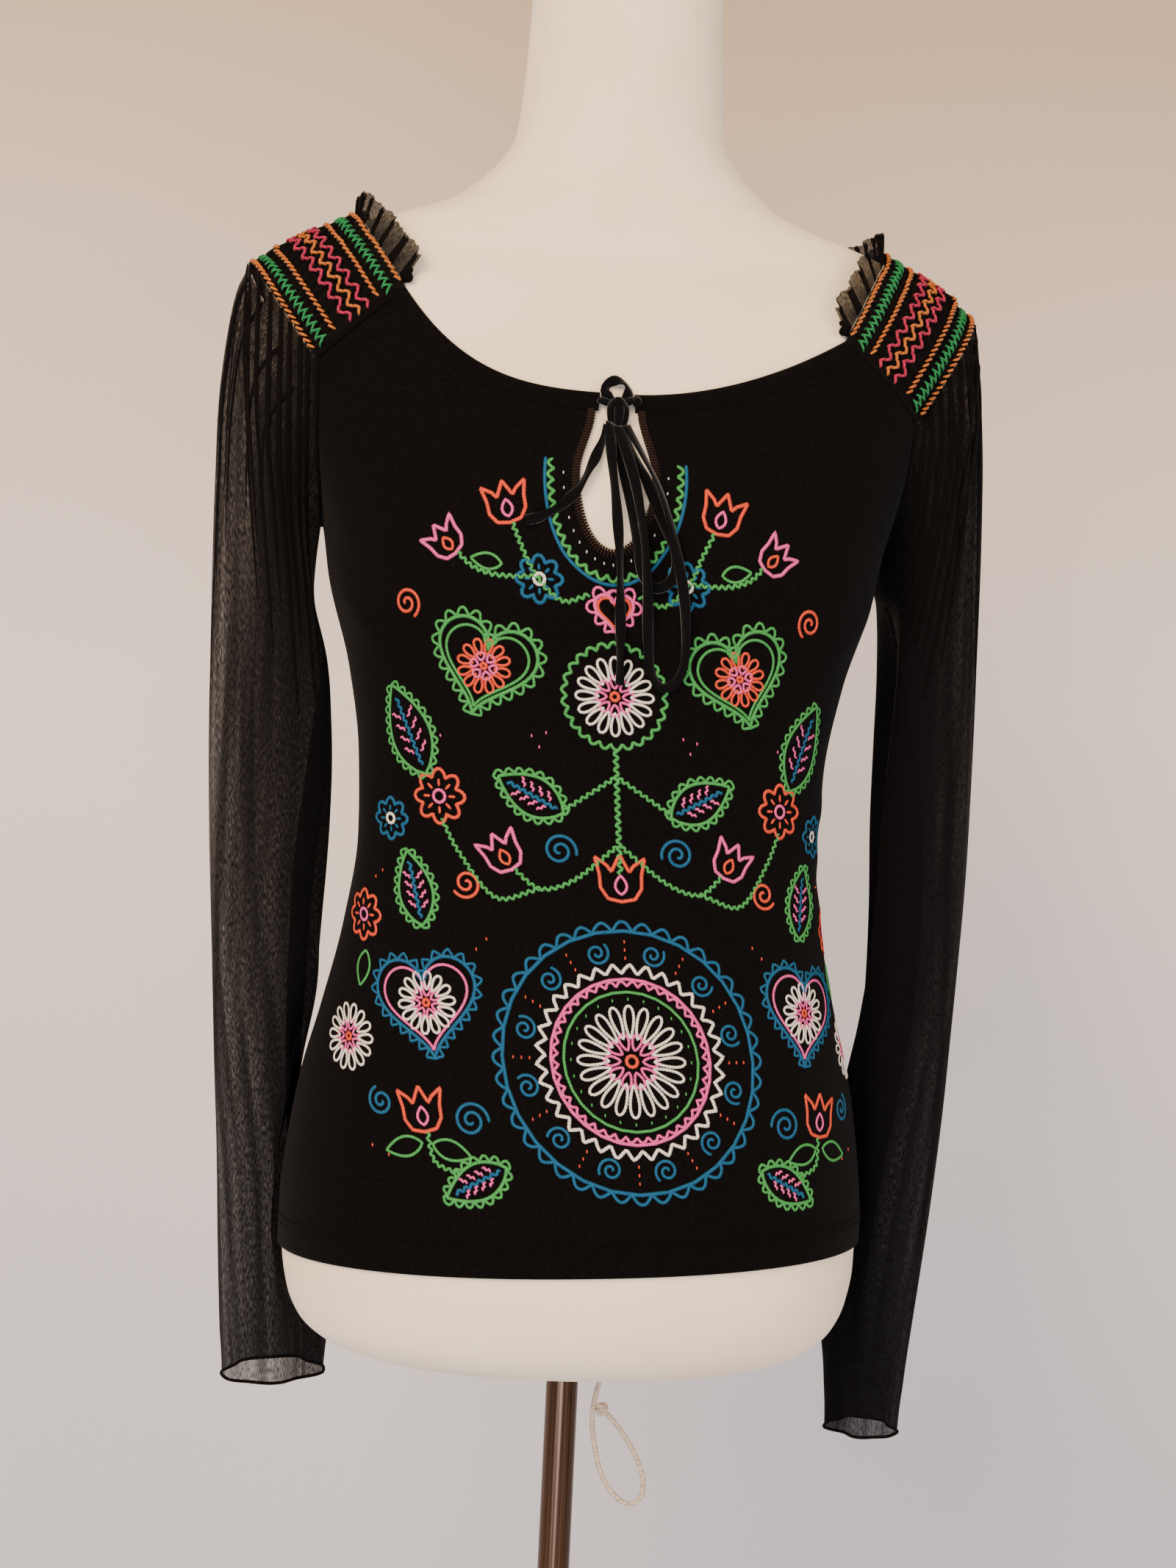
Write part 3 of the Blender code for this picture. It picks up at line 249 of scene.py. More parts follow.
@dataclass(frozen=True)
class TopShape:
    """Where the top's edges and seams lie on the form."""

    hem_z: float = 0.799
    hem_tilt: float = 0.038
    hem_band: float = 0.018
    keyhole_x: float = -0.007
    keyhole_foot_z: float = 1.192
    keyhole_wide_z: float = 1.233
    keyhole_half: float = 0.021
    keyhole_half_at_casing: float = 0.013
    casing_end_half: float = 0.010
    casing_width: float = 0.010
    neck_z: tuple = (1.280, 1.322)
    neck_power_front: tuple = (3.4, 1.9)
    neck_power_back: float = 2.0
    casing_corner_x: float = 0.124
    panel_corner_x: float = 0.1315
    armhole_corner_x: float = 0.170
    front_seam_z: tuple = (1.330, 1.2905)
    back_seam_z: tuple = (1.348, 1.305)
    slip: float = 0.007
    underarm_z: float = 1.212
    ridge_x: tuple = (0.155, 0.2130)
    ridge_z: tuple = (1.3890, 1.358)
    smocking_lift: tuple = (0.0009, 0.0018)
    yoke_side_z: float = 1.10

    def slip_of(self, x: Array) -> Array:
        """The top has slipped forward on the wearer's left shoulder and back on the right one."""
        return np.where(np.asarray(x) > 0, -self.slip, self.slip)

    def shoulder_seam_z(self, x: Array, behind: bool = False) -> Array:
        """Height of the seam between the smocking and a panel or its casing."""
        part = (np.abs(x) - self.casing_corner_x) / (self.armhole_corner_x - self.casing_corner_x)
        if behind:
            return blend(*self.back_seam_z, part) - self.slip_of(x)
        return blend(*self.front_seam_z, part) + self.slip_of(x)

    def neck_power(self, x: Array, behind: bool) -> Array:
        """How sharply the neck edge turns up to the shoulder. The wearer's right side is the sharper one."""
        if behind:
            return np.full(np.shape(x), self.neck_power_back)
        return np.where(np.asarray(x) < 0, *self.neck_power_front)

    def neckline_z(self, x: Array, behind: bool = False) -> Array:
        """Height of the neck edge."""
        corner = self.shoulder_seam_z(np.copysign(self.casing_corner_x, x), behind)
        lowest = self.neck_z[behind]
        return lowest + (corner - lowest) * (np.abs(x) / self.casing_corner_x) ** self.neck_power(x, behind)

    def casing_seam_z(self, x: Array, behind: bool = False) -> Array:
        """Height of the casing's lower edge."""
        corner = self.shoulder_seam_z(np.copysign(self.panel_corner_x, x), behind)
        lowest = self.neck_z[behind] - self.casing_width
        return lowest + (corner - lowest) * (np.abs(x) / self.panel_corner_x) ** self.neck_power(x, behind)

    def armhole(self, side: int, part: Array, behind: bool = False) -> tuple[Array, Array]:
        """Turn and height along the armhole: part is 0 at the smocking and 1 under the arm."""
        corner_x = side * self.armhole_corner_x
        corner_z = self.shoulder_seam_z(corner_x, behind)
        sweep = np.asarray(part) ** 1.5
        turn = blend(SKIN.turn_at(corner_x, corner_z, behind), side * pi / 2, sweep)
        return turn, blend(corner_z, self.underarm_z, 1 - (1 - sweep) ** 2.4)

    def keyhole_half_at(self, z: Array) -> Array:
        """Half the keyhole's width above its widest level."""
        top_z = self.neck_z[0] - self.casing_width
        part = (z - self.keyhole_wide_z) / (top_z - self.keyhole_wide_z)
        return blend(self.keyhole_half, self.keyhole_half_at_casing, part * part * (3 - 2 * part))

    def panel_foot_z(self, turns: Array) -> Array:
        """Height of the stitched line at which the hem starts."""
        x = SKIN.on_skin(turns, np.full(np.shape(turns), self.hem_z))[..., 0]
        return self.hem_z + self.hem_tilt * x + self.hem_band

    def smocking_point(self, side: int, part: Array, over: Array) -> Array:
        """Points under the smocking, placed as on the wearer's left, with the given side's slip.

        Args:
            side: 1 for the wearer's left shoulder, -1 for the right one.
            part: 0 at the neck edge and 1 at the sleeve.
            over: The angle from the front seam, -90 degrees, to the back seam, 90 degrees.

        Returns:
            The points.
        """
        part, over = np.broadcast_arrays(np.asarray(part, float), np.asarray(over, float))
        x = blend(self.casing_corner_x, self.armhole_corner_x, part)
        slip = float(self.slip_of(side))
        front_z = blend(*self.front_seam_z, part) + slip
        back_z = blend(*self.back_seam_z, part) - slip
        front = SKIN.on_skin(SKIN.turn_at(x, front_z), front_z)
        back = SKIN.on_skin(SKIN.turn_at(x, back_z, behind=True), back_z)
        middle = (front + back) / 2
        ridge = np.stack([blend(*self.ridge_x, part), 0 * part, blend(*self.ridge_z, part)], axis=-1)
        up = unit(ridge - middle)
        along = np.where(over[..., None] < 0, unit(front - middle), unit(back - middle))
        ray = unit(up * np.cos(over)[..., None] + along * np.abs(np.sin(over))[..., None])
        skin = middle + ray * SKIN.distance_inside(middle, ray)[..., None]
        lift = blend(*self.smocking_lift, part)
        reach = np.linalg.norm(ridge - middle, axis=-1) - SKIN.distance_inside(middle, up)
        puff = np.maximum(reach - lift, 0) * np.cos(over) ** 2
        return skin + SKIN.outward(skin) * lift[..., None] + ray * puff[..., None]

    def smocking_frame(self, side: int, part: Array, over: Array) -> tuple[Array, Array, Array]:
        """Points under the smocking, with the directions towards the sleeve and outwards."""
        probe = 0.01
        part, over = np.broadcast_arrays(np.asarray(part, float), np.asarray(over, float))
        ahead, behind = np.minimum(part + probe, 1), np.maximum(part - probe, 0)
        spot = self.smocking_point
        towards_sleeve = unit(spot(side, ahead, over) - spot(side, behind, over))
        later, sooner = np.minimum(over + probe, pi / 2), np.maximum(over - probe, -pi / 2)
        backwards = unit(spot(side, part, later) - spot(side, part, sooner))
        point = spot(side, part, over)
        across = unit(np.cross(towards_sleeve, backwards))
        outwards = unit(blend(SKIN.outward(point), across, np.cos(over)[..., None]))
        return point, towards_sleeve, outwards


TOP = TopShape()


def mesh_piece(name: str, points: Array, faces: list, loop_uv: Array | None = None) -> bpy.types.Object:
    """Make a smooth piece from points and faces.

    Args:
        name: The piece's name.
        points: Its points, in metres.
        faces: Lists of point numbers.
        loop_uv: A UV place for each corner of each face, in metres, if a pattern follows the surface.

    Returns:
        The piece, linked to the scene.
    """
    mesh = bpy.data.meshes.new(name)
    mesh.from_pydata(np.asarray(points, float).tolist(), [], faces)
    if loop_uv is not None:
        layer = mesh.uv_layers.new(name="UVMap")
        layer.data.foreach_set("uv", np.asarray(loop_uv, np.float32).ravel())
    mesh.shade_smooth()
    mesh.update()
    piece = bpy.data.objects.new(name, mesh)
    bpy.context.collection.objects.link(piece)
    return piece


def grid_faces(shape: tuple[int, int], wrap: bool = False, present: Array | None = None) -> list:
    """Faces over a grid of points, each a list of four (row, column) pairs.

    Args:
        shape: Rows and columns of points.
        wrap: Whether the last column joins the first.
        present: Which points are there. A face with a missing corner is left out.

    Returns:
        Rows of [[row, column], ...], with columns counted past the last one where they wrap.
    """
    rows, columns = shape
    faces = []
    for row in range(rows - 1):
        for column in range(columns if wrap else columns - 1):
            beside = column + 1
            corners = [(row, column), (row, beside), (row + 1, beside), (row + 1, column)]
            if present is None or all(present[r, c % columns] for r, c in corners):
                faces.append(corners)
    return faces


def grid_piece(name: str, grid: Array, uv: Array | None = None, wrap: bool = False) -> bpy.types.Object:
    """Make a sheet over a grid of points.

    Args:
        name: The piece's name.
        grid: Rows and columns of points. Points that aren't numbers leave a hole.
        uv: UV places of the same rows, with one more column where the sheet wraps.
        wrap: Whether the last column joins the first.

    Returns:
        The sheet.
    """
    present = ~np.isnan(grid[..., 0])
    numbers = np.where(present, np.cumsum(present).reshape(present.shape) - 1, -1)
    corners = grid_faces(grid.shape[:2], wrap, present)
    faces = [[int(numbers[r, c % grid.shape[1]]) for r, c in face] for face in corners]
    loop_uv = None
    if uv is not None:
        rows, columns = np.moveaxis(np.array(corners), -1, 0)
        loop_uv = uv[rows, columns]
    return mesh_piece(name, grid[present], faces, loop_uv)


def tube_faces(rows: int, sides: int, closed: bool = False) -> list:
    """Faces of a tube whose points run round it, ring after ring.

    Args:
        rows: How many rings it has.
        sides: How many points each ring has.
        closed: Whether the last ring joins the first. Otherwise both ends get a cap.

    Returns:
        The faces, as point numbers.
    """
    start = np.arange(rows if closed else rows - 1)[:, None] * sides
    later = (start + sides) % (rows * sides)
    column = np.arange(sides)
    beside = (column + 1) % sides
    faces = np.stack([start + column, start + beside, later + beside, later + column], axis=-1)
    faces = faces.reshape(-1, 4).tolist()
    if not closed:
        last = (rows - 1) * sides
        faces += [list(range(sides))[::-1], [last + k for k in range(sides)]]
    return faces


def tube_points(path: Array, radius: Array, sides: int, away: Array | None = None,
                closed: bool = False, flat: float = 1.0) -> tuple[Array, list]:
    """Points and faces of a tube along a path.

    Args:
        path: The points that it follows.
        radius: Its radius, the same all along or one for each point.
        sides: How many sides it has.
        away: The direction off the cloth at each point, if it lies on cloth.
        closed: Whether its ends meet.
        flat: How thick it is off the cloth, as a share of its width.

    Returns:
        Points and faces.
    """
    path = np.asarray(path, float)
    tangent = unit(ahead_of(path, closed))
    if away is None:
        up = np.array([0.0, 0.0, 1.0]) if abs(tangent[0][2]) < 0.9 else np.array([1.0, 0.0, 0.0])
        away = []
        for step in tangent:
            up = unit(up - step * up.dot(step))
            away.append(up)
        away = np.array(away)
    across = unit(np.cross(tangent, away))
    up = np.cross(across, tangent)
    swing = np.linspace(0, 2 * pi, sides, endpoint=False)[:, None]
    circle = flat * np.cos(swing) * up[:, None, :] + np.sin(swing) * across[:, None, :]
    grid = path[:, None, :] + circle * np.broadcast_to(radius, len(path))[:, None, None]
    return grid.reshape(-1, 3), tube_faces(len(path), sides, closed)


def joined(parts: list) -> tuple[Array, list]:
    """Points and faces of several bodies as one."""
    points, faces, count = [], [], 0
    for part_points, part_faces in parts:
        points.append(part_points)
        faces += [[corner + count for corner in face] for face in part_faces]
        count += len(part_points)
    return np.concatenate(points), faces


def for_side(side: Side, points: Array, faces: list) -> tuple[Array, list]:
    """Points and faces made for the wearer's left, mirrored with their faces still out for the right."""
    if side is Side.RIGHT:
        return points * (-1, 1, 1), [face[::-1] for face in faces]
    return points, faces


def stitch_bodies(paths: Array, outwards: Array, radius: Array, sides: int = 6) -> tuple[Array, list]:
    """Points and faces of many short closed bodies.

    Args:
        paths: For each body, the points that it follows.
        outwards: The direction off the cloth at each of those points.
        radius: The body's radius at each of its points.
        sides: How many sides each body has.

    Returns:
        Points and faces of all the bodies together.
    """
    tangent = unit(np.gradient(paths, axis=1))
    across = unit(np.cross(tangent, outwards))
    up = unit(np.cross(across, tangent))
    swing = np.linspace(0, 2 * pi, sides, endpoint=False)[:, None]
    ring = np.cos(swing) * up[:, :, None, :] + np.sin(swing) * across[:, :, None, :]
    grid = paths[:, :, None, :] + ring * np.asarray(radius)[:, None, None]
    one = tube_faces(grid.shape[1], sides)
    faces = []
    for start in range(0, grid.shape[0] * grid.shape[1] * sides, grid.shape[1] * sides):
        faces += [[corner + start for corner in face] for face in one]
    return grid.reshape(-1, 3), faces


def dashes(line: Array, outwards: Array, pitch: float, length: float, radius: float, lift: float) -> tuple:
    """Points and faces of a row of running stitches along a dense line on the cloth.

    Args:
        line: Points along the row.
        outwards: The direction off the cloth at each point.
        pitch: Distance from one stitch to the next.
        length: Length of a stitch.
        radius: Radius of its thread.
        lift: Height of the thread's middle over the line.

    Returns:
        Points and faces.
    """
    walked = walked_along(line)
    starts = np.arange(pitch / 2, walked[-1] - length, pitch)
    stops = starts[:, None] + np.array([0, 0.2, 0.8, 1.0]) * length
    place = read_at(stops, walked, line)
    away = unit(read_at(stops, walked, outwards))
    rise = lift * np.array([-0.6, 1.0, 1.0, -0.6])[:, None]
    return stitch_bodies(place + away * rise, away, radius * np.array([0.5, 1.0, 1.0, 0.5]), 5)


def solidify(piece: bpy.types.Object, thickness: float, offset: float = 1.0) -> None:
    """Give a sheet its wall. An offset of 1 puts it on the outer side."""
    wall = piece.modifiers.new("wall", "SOLIDIFY")
    wall.thickness = thickness
    wall.offset = offset
    wall.use_even_offset = True


def settle(piece: bpy.types.Object, finish: bpy.types.Material, slot: str, *nodes: str) -> bpy.types.Object:
    """Dress a piece and hand it to the frame.

    Args:
        piece: The finished piece.
        finish: Its material.
        slot: The name of the record's slot for its finish; not used.
        nodes: The CAD nodes that it stands for.

    Returns:
        The piece.
    """
    piece.data.materials.clear()
    piece.data.materials.append(finish)
    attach(piece, "root")
    if nodes:
        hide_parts(*nodes)
    log.info("%s: %d points", piece.name, len(getattr(piece.data, "vertices", ())))
    return piece


def node(tree: bpy.types.NodeTree, kind: str, inputs: dict | None = None, **settings: str) -> bpy.types.Node:
    """Add a shader node with its settings and links.

    Args:
        tree: The material's tree.
        kind: The node's type.
        inputs: A value or an output socket for each input, by name or number.
        settings: The node's own properties.

    Returns:
        The node.
    """
    item = tree.nodes.new(kind)
    for key, value in settings.items():
        setattr(item, key, value)
    for key, value in (inputs or {}).items():
        if isinstance(value, bpy.types.NodeSocket):
            tree.links.new(value, item.inputs[key])
        else:
            item.inputs[key].default_value = value
    return item


def start_finish(name: str, roughness: float, **sockets: float) -> tuple:
    """Start a material: its name, roughness and any other sockets of its shader that stay even.

    Args:
        name: The material's name.
        roughness: Its roughness.
        sockets: Other values, by the socket's name with underscores for spaces.

    Returns:
        The material, its tree and its shader.
    """
    material = bpy.data.materials.new(name)
    material.use_nodes = True
    tree = material.node_tree
    shader = tree.nodes["Principled BSDF"]
    shader.inputs["Roughness"].default_value = roughness
    for key, value in sockets.items():
        shader.inputs[key.replace("_", " ")].default_value = value
    return material, tree, shader


def give_grain(
    tree: bpy.types.NodeTree, shader: bpy.types.Node, shading: bpy.types.NodeSocket, levels: tuple,
    shades: tuple, raising: bpy.types.NodeSocket, relief: tuple,
) -> None:
    """Give a surface its grain: one pattern shades it, and one raises it.

    Args:
        tree: The material's tree.
        shader: Its shader.
        shading: The pattern that shades it.
        levels: The pattern's values up to which the first shade holds and from which the second does.
        shades: The two shades, as hex colours.
        raising: The pattern that raises it, which may be the same one.
        relief: How far that pattern raises it, in metres, and how strongly this shows.
    """
    color = node(tree, "ShaderNodeValToRGB", {"Fac": shading})
    for element, level, shade in zip(color.color_ramp.elements, levels, shades):
        element.position = level
        element.color = linear(shade)
    bump = node(tree, "ShaderNodeBump", {"Height": raising, "Distance": relief[0], "Strength": relief[1]})
    tree.links.new(color.outputs["Color"], shader.inputs["Base Color"])
    tree.links.new(bump.outputs["Normal"], shader.inputs["Normal"])


# A wave texture of this scale has one band a metre.
WAVE_PER_METRE = 0.314


@dataclass(frozen=True)
class Jersey:
    """Cotton single jersey, knitted and dyed: matt and nearly black, with fine upright ribs."""

    name: str = "cotton_jersey"
    shades: tuple = ("050404", "0B0909")
    rib_mm: float = 1.3
    relief: tuple = (0.00012, 0.8)
    sheen: float = 0.02

    def make(self) -> bpy.types.Material:
        """Build the material. The ribs are drawn twice as coarse as real ones, so that they show."""
        material, tree, shader = start_finish(
            self.name, 0.95, Sheen_Weight=self.sheen, Sheen_Roughness=0.45, Specular_IOR_Level=0.05
        )
        place = node(tree, "ShaderNodeTexCoord").outputs["UV"]
        mottle = node(tree, "ShaderNodeTexNoise", {"Vector": place, "Scale": 420.0, "Detail": 6.0})
        pitch = WAVE_PER_METRE / (self.rib_mm / 1000)
        ribs = node(tree, "ShaderNodeTexWave", {"Vector": place, "Scale": pitch, "Distortion": 0.6})
        give_grain(
            tree, shader, mottle.outputs["Fac"], (0.3, 0.7), self.shades, ribs.outputs["Fac"], self.relief
        )
        return material


@dataclass(frozen=True)
class Chiffon:
    """Crepe chiffon: a sheer woven cloth of fine crinkled threads, whose cover changes in fine streaks
    along its length. It is set denser than one real layer, which lets about 0.3 of the light through,
    to stand for folds that aren't modelled. A sleeve of it is denser still on its inner side, and has
    bands where the cloth hangs in more or fewer layers."""

    name: str = "crepe_chiffon"
    color: str = "0A090B"
    thin: float = 0.78
    dense: float = 0.95
    # How much denser the cover gets towards a sleeve's inner side.
    folded: float = 0.0
    streak_mm: float = 0.9
    streak_length_mm: float = 3.5
    streak_levels: tuple = (0.38, 0.62)
    bands_per_metre: tuple = (55.0, 3.2)
    band_levels: tuple = (0.38, 0.64)
    band_layers: tuple = (0.45, 1.5)
    relief: tuple = (0.0001, 0.3)

    def inner_and_banded_cover(self, tree: bpy.types.NodeTree, place: bpy.types.NodeSocket,
                     cover: bpy.types.NodeSocket) -> bpy.types.NodeSocket:
        """A sleeve's cover, from that of one layer.

        Args:
            tree: The material's tree.
            place: Its UV places.
            cover: The cover of one layer.

        Returns:
            The cover, made denser towards the inner side, with the bands.
        """
        math = "ShaderNodeMath"
        around = node(tree, "ShaderNodeSeparateXYZ", {"Vector": place}).outputs["X"]
        inputs = {0: around, 1: 2 * pi / SLEEVE_UV_WIDTH, 2: -2 * pi / 3}
        swing = node(tree, math, inputs, operation="MULTIPLY_ADD").outputs[0]
        outside = node(tree, math, {0: swing}, operation="COSINE").outputs[0]
        inputs = {0: outside, 1: self.folded / 2, 2: 1 - self.folded / 2}
        bare = node(tree, math, inputs, operation="MULTIPLY_ADD").outputs[0]
        fall = node(tree, "ShaderNodeMapping", {"Vector": place, "Scale": (*self.bands_per_metre, 1.0)})
        inputs = {"Vector": fall.outputs["Vector"], "Scale": 1.0, "Detail": 2.0}
        hang = node(tree, "ShaderNodeTexNoise", inputs).outputs["Fac"]
        (low, high), (few, many) = self.band_levels, self.band_layers
        inputs = {"Value": hang, "From Min": low, "From Max": high, "To Min": few, "To Max": many}
        layers = node(tree, "ShaderNodeMapRange", inputs).outputs["Result"]
        seen = node(tree, math, {0: 1.0, 1: cover}, operation="SUBTRACT").outputs[0]
        for share in (bare, layers):
            seen = node(tree, math, {0: seen, 1: share}, operation="MULTIPLY").outputs[0]
        return node(tree, math, {0: 1.0, 1: seen}, operation="SUBTRACT").outputs[0]

    def make(self) -> bpy.types.Material:
        """Build the material."""
        material, tree, shader = start_finish(
            self.name, 0.85, Sheen_Weight=0.01, Sheen_Roughness=0.5, Specular_IOR_Level=0.03
        )
        shader.inputs["Base Color"].default_value = linear(self.color)
        place = node(tree, "ShaderNodeTexCoord").outputs["UV"]
        scale = (1000 / self.streak_mm, 1000 / self.streak_length_mm, 1.0)
        stretch = node(tree, "ShaderNodeMapping", {"Vector": place, "Scale": scale}).outputs["Vector"]
        inputs = {"Vector": stretch, "Scale": 1.0, "Detail": 3.0}
        streaks = node(tree, "ShaderNodeTexNoise", inputs).outputs["Fac"]
        (low, high), (thin, dense) = self.streak_levels, (self.thin, self.dense)
        inputs = {"Value": streaks, "From Min": low, "From Max": high, "To Min": thin, "To Max": dense}
        alpha = node(tree, "ShaderNodeMapRange", inputs).outputs["Result"]
        if self.folded:
            alpha = self.inner_and_banded_cover(tree, place, alpha)
        tree.links.new(alpha, shader.inputs["Alpha"])
        distance, strength = self.relief
        bump = node(tree, "ShaderNodeBump", {"Height": streaks, "Distance": distance, "Strength": strength})
        tree.links.new(bump.outputs["Normal"], shader.inputs["Normal"])
        return material


@dataclass(frozen=True)
class FineGrain:
    """A finish whose shade and relief both follow one fine grain, on the piece's own coordinates."""

    name: str
    light: str
    deep: str
    grain_mm: float
    roughness: float
    levels: tuple
    relief: tuple
    detail: float = 2.0
    specular: float = 0.5
    sheen: float = 0.0
    sheen_roughness: float = 0.5

    def make(self) -> bpy.types.Material:
        """Build the material."""
        material, tree, shader = start_finish(
            self.name, self.roughness, Sheen_Weight=self.sheen, Sheen_Roughness=self.sheen_roughness,
            Specular_IOR_Level=self.specular,
        )
        place = node(tree, "ShaderNodeTexCoord").outputs["Object"]
        scale = 1000 / self.grain_mm
        grain = node(tree, "ShaderNodeTexNoise", {"Vector": place, "Scale": scale, "Detail": self.detail})
        grain = grain.outputs["Fac"]
        give_grain(tree, shader, grain, self.levels, (self.deep, self.light), grain, self.relief)
        return material


@dataclass(frozen=True)
class Velvet(FineGrain):
    """Velvet ribbon: a short dense pile, deep black face on, with a soft sheen at grazing angles."""

    name: str = "velvet_ribbon"
    light: str = "0C0C0F"
    deep: str = "040405"
    grain_mm: float = 5 / 9
    roughness: float = 1.0
    levels: tuple = (0.35, 0.7)
    relief: tuple = (0.0003, 0.7)
    detail: float = 3.0
    specular: float = 0.06
    sheen: float = 0.25
    sheen_roughness: float = 0.35


@dataclass(frozen=True)
class Yarn(FineGrain):
    """Dyed cotton thread, mercerised: a soft gloss along each stitch, with its twist showing."""

    grain_mm: float = 0.9
    roughness: float = 0.6
    levels: tuple = (0.32, 0.6)
    relief: tuple = (0.0003, 0.6)
    specular: float = 0.2
    sheen: float = 0.15
    sheen_roughness: float = 0.4


@dataclass(frozen=True)
class PrintInk(FineGrain):
    """Water-based ink printed on jersey: matt, a little raised, with the knit showing through it."""

    grain_mm: float = 0.7
    roughness: float = 0.85
    levels: tuple = (0.3, 0.62)
    relief: tuple = (0.0002, 0.6)
    specular: float = 0.3


@dataclass(frozen=True)
class KnitCover:
    """The dress form's cover: cream cotton jersey stretched over foam, matt and slightly uneven."""

    name: str = "cream_cotton_jersey"
    shades: tuple = ("ECDCC2", "F4E6CF")
    rib_mm: float = 1.6
    relief: tuple = (0.0001, 0.5)

    def make(self) -> bpy.types.Material:
        """Build the material. The ribs are drawn coarse enough to show."""
        material, tree, shader = start_finish(
            self.name, 0.92, Sheen_Weight=0.15, Sheen_Roughness=0.5, Specular_IOR_Level=0.2
        )
        place = node(tree, "ShaderNodeTexCoord").outputs["UV"]
        cloud = node(tree, "ShaderNodeTexNoise", {"Vector": place, "Scale": 14.0, "Detail": 4.0})
        pitch = WAVE_PER_METRE / (self.rib_mm / 1000)
        ribs = node(tree, "ShaderNodeTexWave", {"Vector": place, "Scale": pitch, "Distortion": 1.0})
        give_grain(
            tree, shader, cloud.outputs["Fac"], (0.3, 0.7), self.shades, ribs.outputs["Fac"], self.relief
        )
        return material


@dataclass(frozen=True)
class BronzedSteel:
    """Bronzed steel tube: a clear gloss over a brown metal with fine marks along its length."""

    name: str = "bronzed_steel_tube"
    shades: tuple = ("38281F", "6A5342")
    marks_per_metre: tuple = (900.0, 900.0, 4.0)
    relief: tuple = (0.00005, 0.4)

    def make(self) -> bpy.types.Material:
        """Build the material."""
        material, tree, shader = start_finish(self.name, 0.28, Metallic=1.0)
        place = node(tree, "ShaderNodeTexCoord").outputs["Object"]
        along = node(tree, "ShaderNodeMapping", {"Vector": place, "Scale": self.marks_per_metre})
        inputs = {"Vector": along.outputs["Vector"], "Scale": 1.0, "Detail": 3.0}
        marks = node(tree, "ShaderNodeTexNoise", inputs).outputs["Fac"]
        give_grain(tree, shader, marks, (0.3, 0.7), self.shades, marks, self.relief)
        return material


@dataclass
class Studio:
    """The camera at the photo's place, a pale wall and floor, and soft light."""

    azimuth: float = radians(-6)
    distance: float = 1.30
    target: tuple = (-0.0017, 0.0, 1.0665)
    roll: float = radians(2.75)
    lens: float = 50.2
    wall_y: float = 0.62
    # Painted light on the wall: two layers, each turning from a lower to an upper colour between two heights.
    painted_light_on_wall: tuple = (((0.34, 1.04), ("CACDD6", "EDE6E1")), ((1.14, 1.76), ("FFFFFF", "CEBEAA")))

    def place_camera(self) -> None:
        """Put the camera where the photo was taken from, with its slight tilt."""
        data = bpy.data.cameras.new("camera")
        data.lens = self.lens
        camera = bpy.data.objects.new("camera", data)
        bpy.context.collection.objects.link(camera)
        away = Vector((sin(self.azimuth), -cos(self.azimuth), 0.0)) * self.distance
        place = Vector(self.target) + away
        look = (-away).to_track_quat("-Z", "Y").to_matrix().to_4x4()
        camera.matrix_world = Matrix.Translation(place) @ look @ Matrix.Rotation(self.roll, 4, "Z")
        bpy.context.scene.camera = camera

    def add_light(self, name: str, place: tuple, size: float, power: float, color: str) -> None:
        """Add a square soft light that points at the top."""
        data = bpy.data.lights.new(name, "AREA")
        data.size = size
        data.energy = power
        data.color = linear(color)[:3]
        lamp = bpy.data.objects.new(name, data)
        bpy.context.collection.objects.link(lamp)
        aim = Vector(self.target) - Vector(place)
        lamp.matrix_world = Matrix.Translation(place) @ aim.to_track_quat("-Z", "Y").to_matrix().to_4x4()

    def build(self) -> None:
        """Build the wall, the floor and the lights.

        The wall's colour carries painted light: painted cool, dim shade low down, its brightest paint at
        mid-height, and painted warm lamplight that dims towards the top, each between the heights given
        with its colours. It is clear from behind, so that it hides nothing in a view from there.
        """
        material, tree, shader = start_finish("wall_paint", 0.95)
        place = node(tree, "ShaderNodeTexCoord").outputs["Object"]
        height = node(tree, "ShaderNodeSeparateXYZ", {"Vector": place}).outputs["Z"]
        layers = []
        # Painted light: each layer shifts the wall's colour between two heights, to painted cool dim shade
        # below and painted warm dim lamplight above.
        for (low, high), (lower, upper) in self.painted_light_on_wall:
            share = node(tree, "ShaderNodeMapRange", {"Value": height, "From Min": low, "From Max": high})
            inputs = {0: share.outputs["Result"], 6: linear(lower), 7: linear(upper)}
            layers.append(node(tree, "ShaderNodeMix", inputs, data_type="RGBA").outputs[2])
        inputs = {0: 1.0, 6: layers[0], 7: layers[1]}
        both = node(tree, "ShaderNodeMix", inputs, data_type="RGBA", blend_type="MULTIPLY")
        tree.links.new(both.outputs[2], shader.inputs["Base Color"])
        back = node(tree, "ShaderNodeNewGeometry").outputs["Backfacing"]
        facing = node(tree, "ShaderNodeMath", {0: 1.0, 1: back}, operation="SUBTRACT")
        tree.links.new(facing.outputs[0], shader.inputs["Alpha"])
        for name, spot, turn in (
            ("floor", (0, 0, -0.001), (0, 0, 0)),
            ("wall", (0, self.wall_y, 2.0), (pi / 2, 0, 0)),
        ):
            bpy.ops.object.select_all(action="DESELECT")
            bpy.ops.mesh.primitive_plane_add(size=8, location=spot, rotation=turn)
            plane = bpy.context.object
            plane.name = name
            bpy.ops.object.transform_apply(location=True, rotation=True, scale=True)
            plane.data.materials.append(material)
        world = bpy.data.worlds.new("room")
        world.use_nodes = True
        world.node_tree.nodes["Background"].inputs["Color"].default_value = linear("EEF0F6")
        world.node_tree.nodes["Background"].inputs["Strength"].default_value = 0.66
        bpy.context.scene.world = world
        self.add_light("window", (-1.4, -2.2, 2.3), 1.6, 124, "FFD9AC")
        self.add_light("room_fill", (1.8, -2.4, 1.6), 1.8, 52, "FFDEBB")
        self.add_light("low_daylight", (-0.4, -2.0, 0.1), 1.4, 44, "DAE7FF")


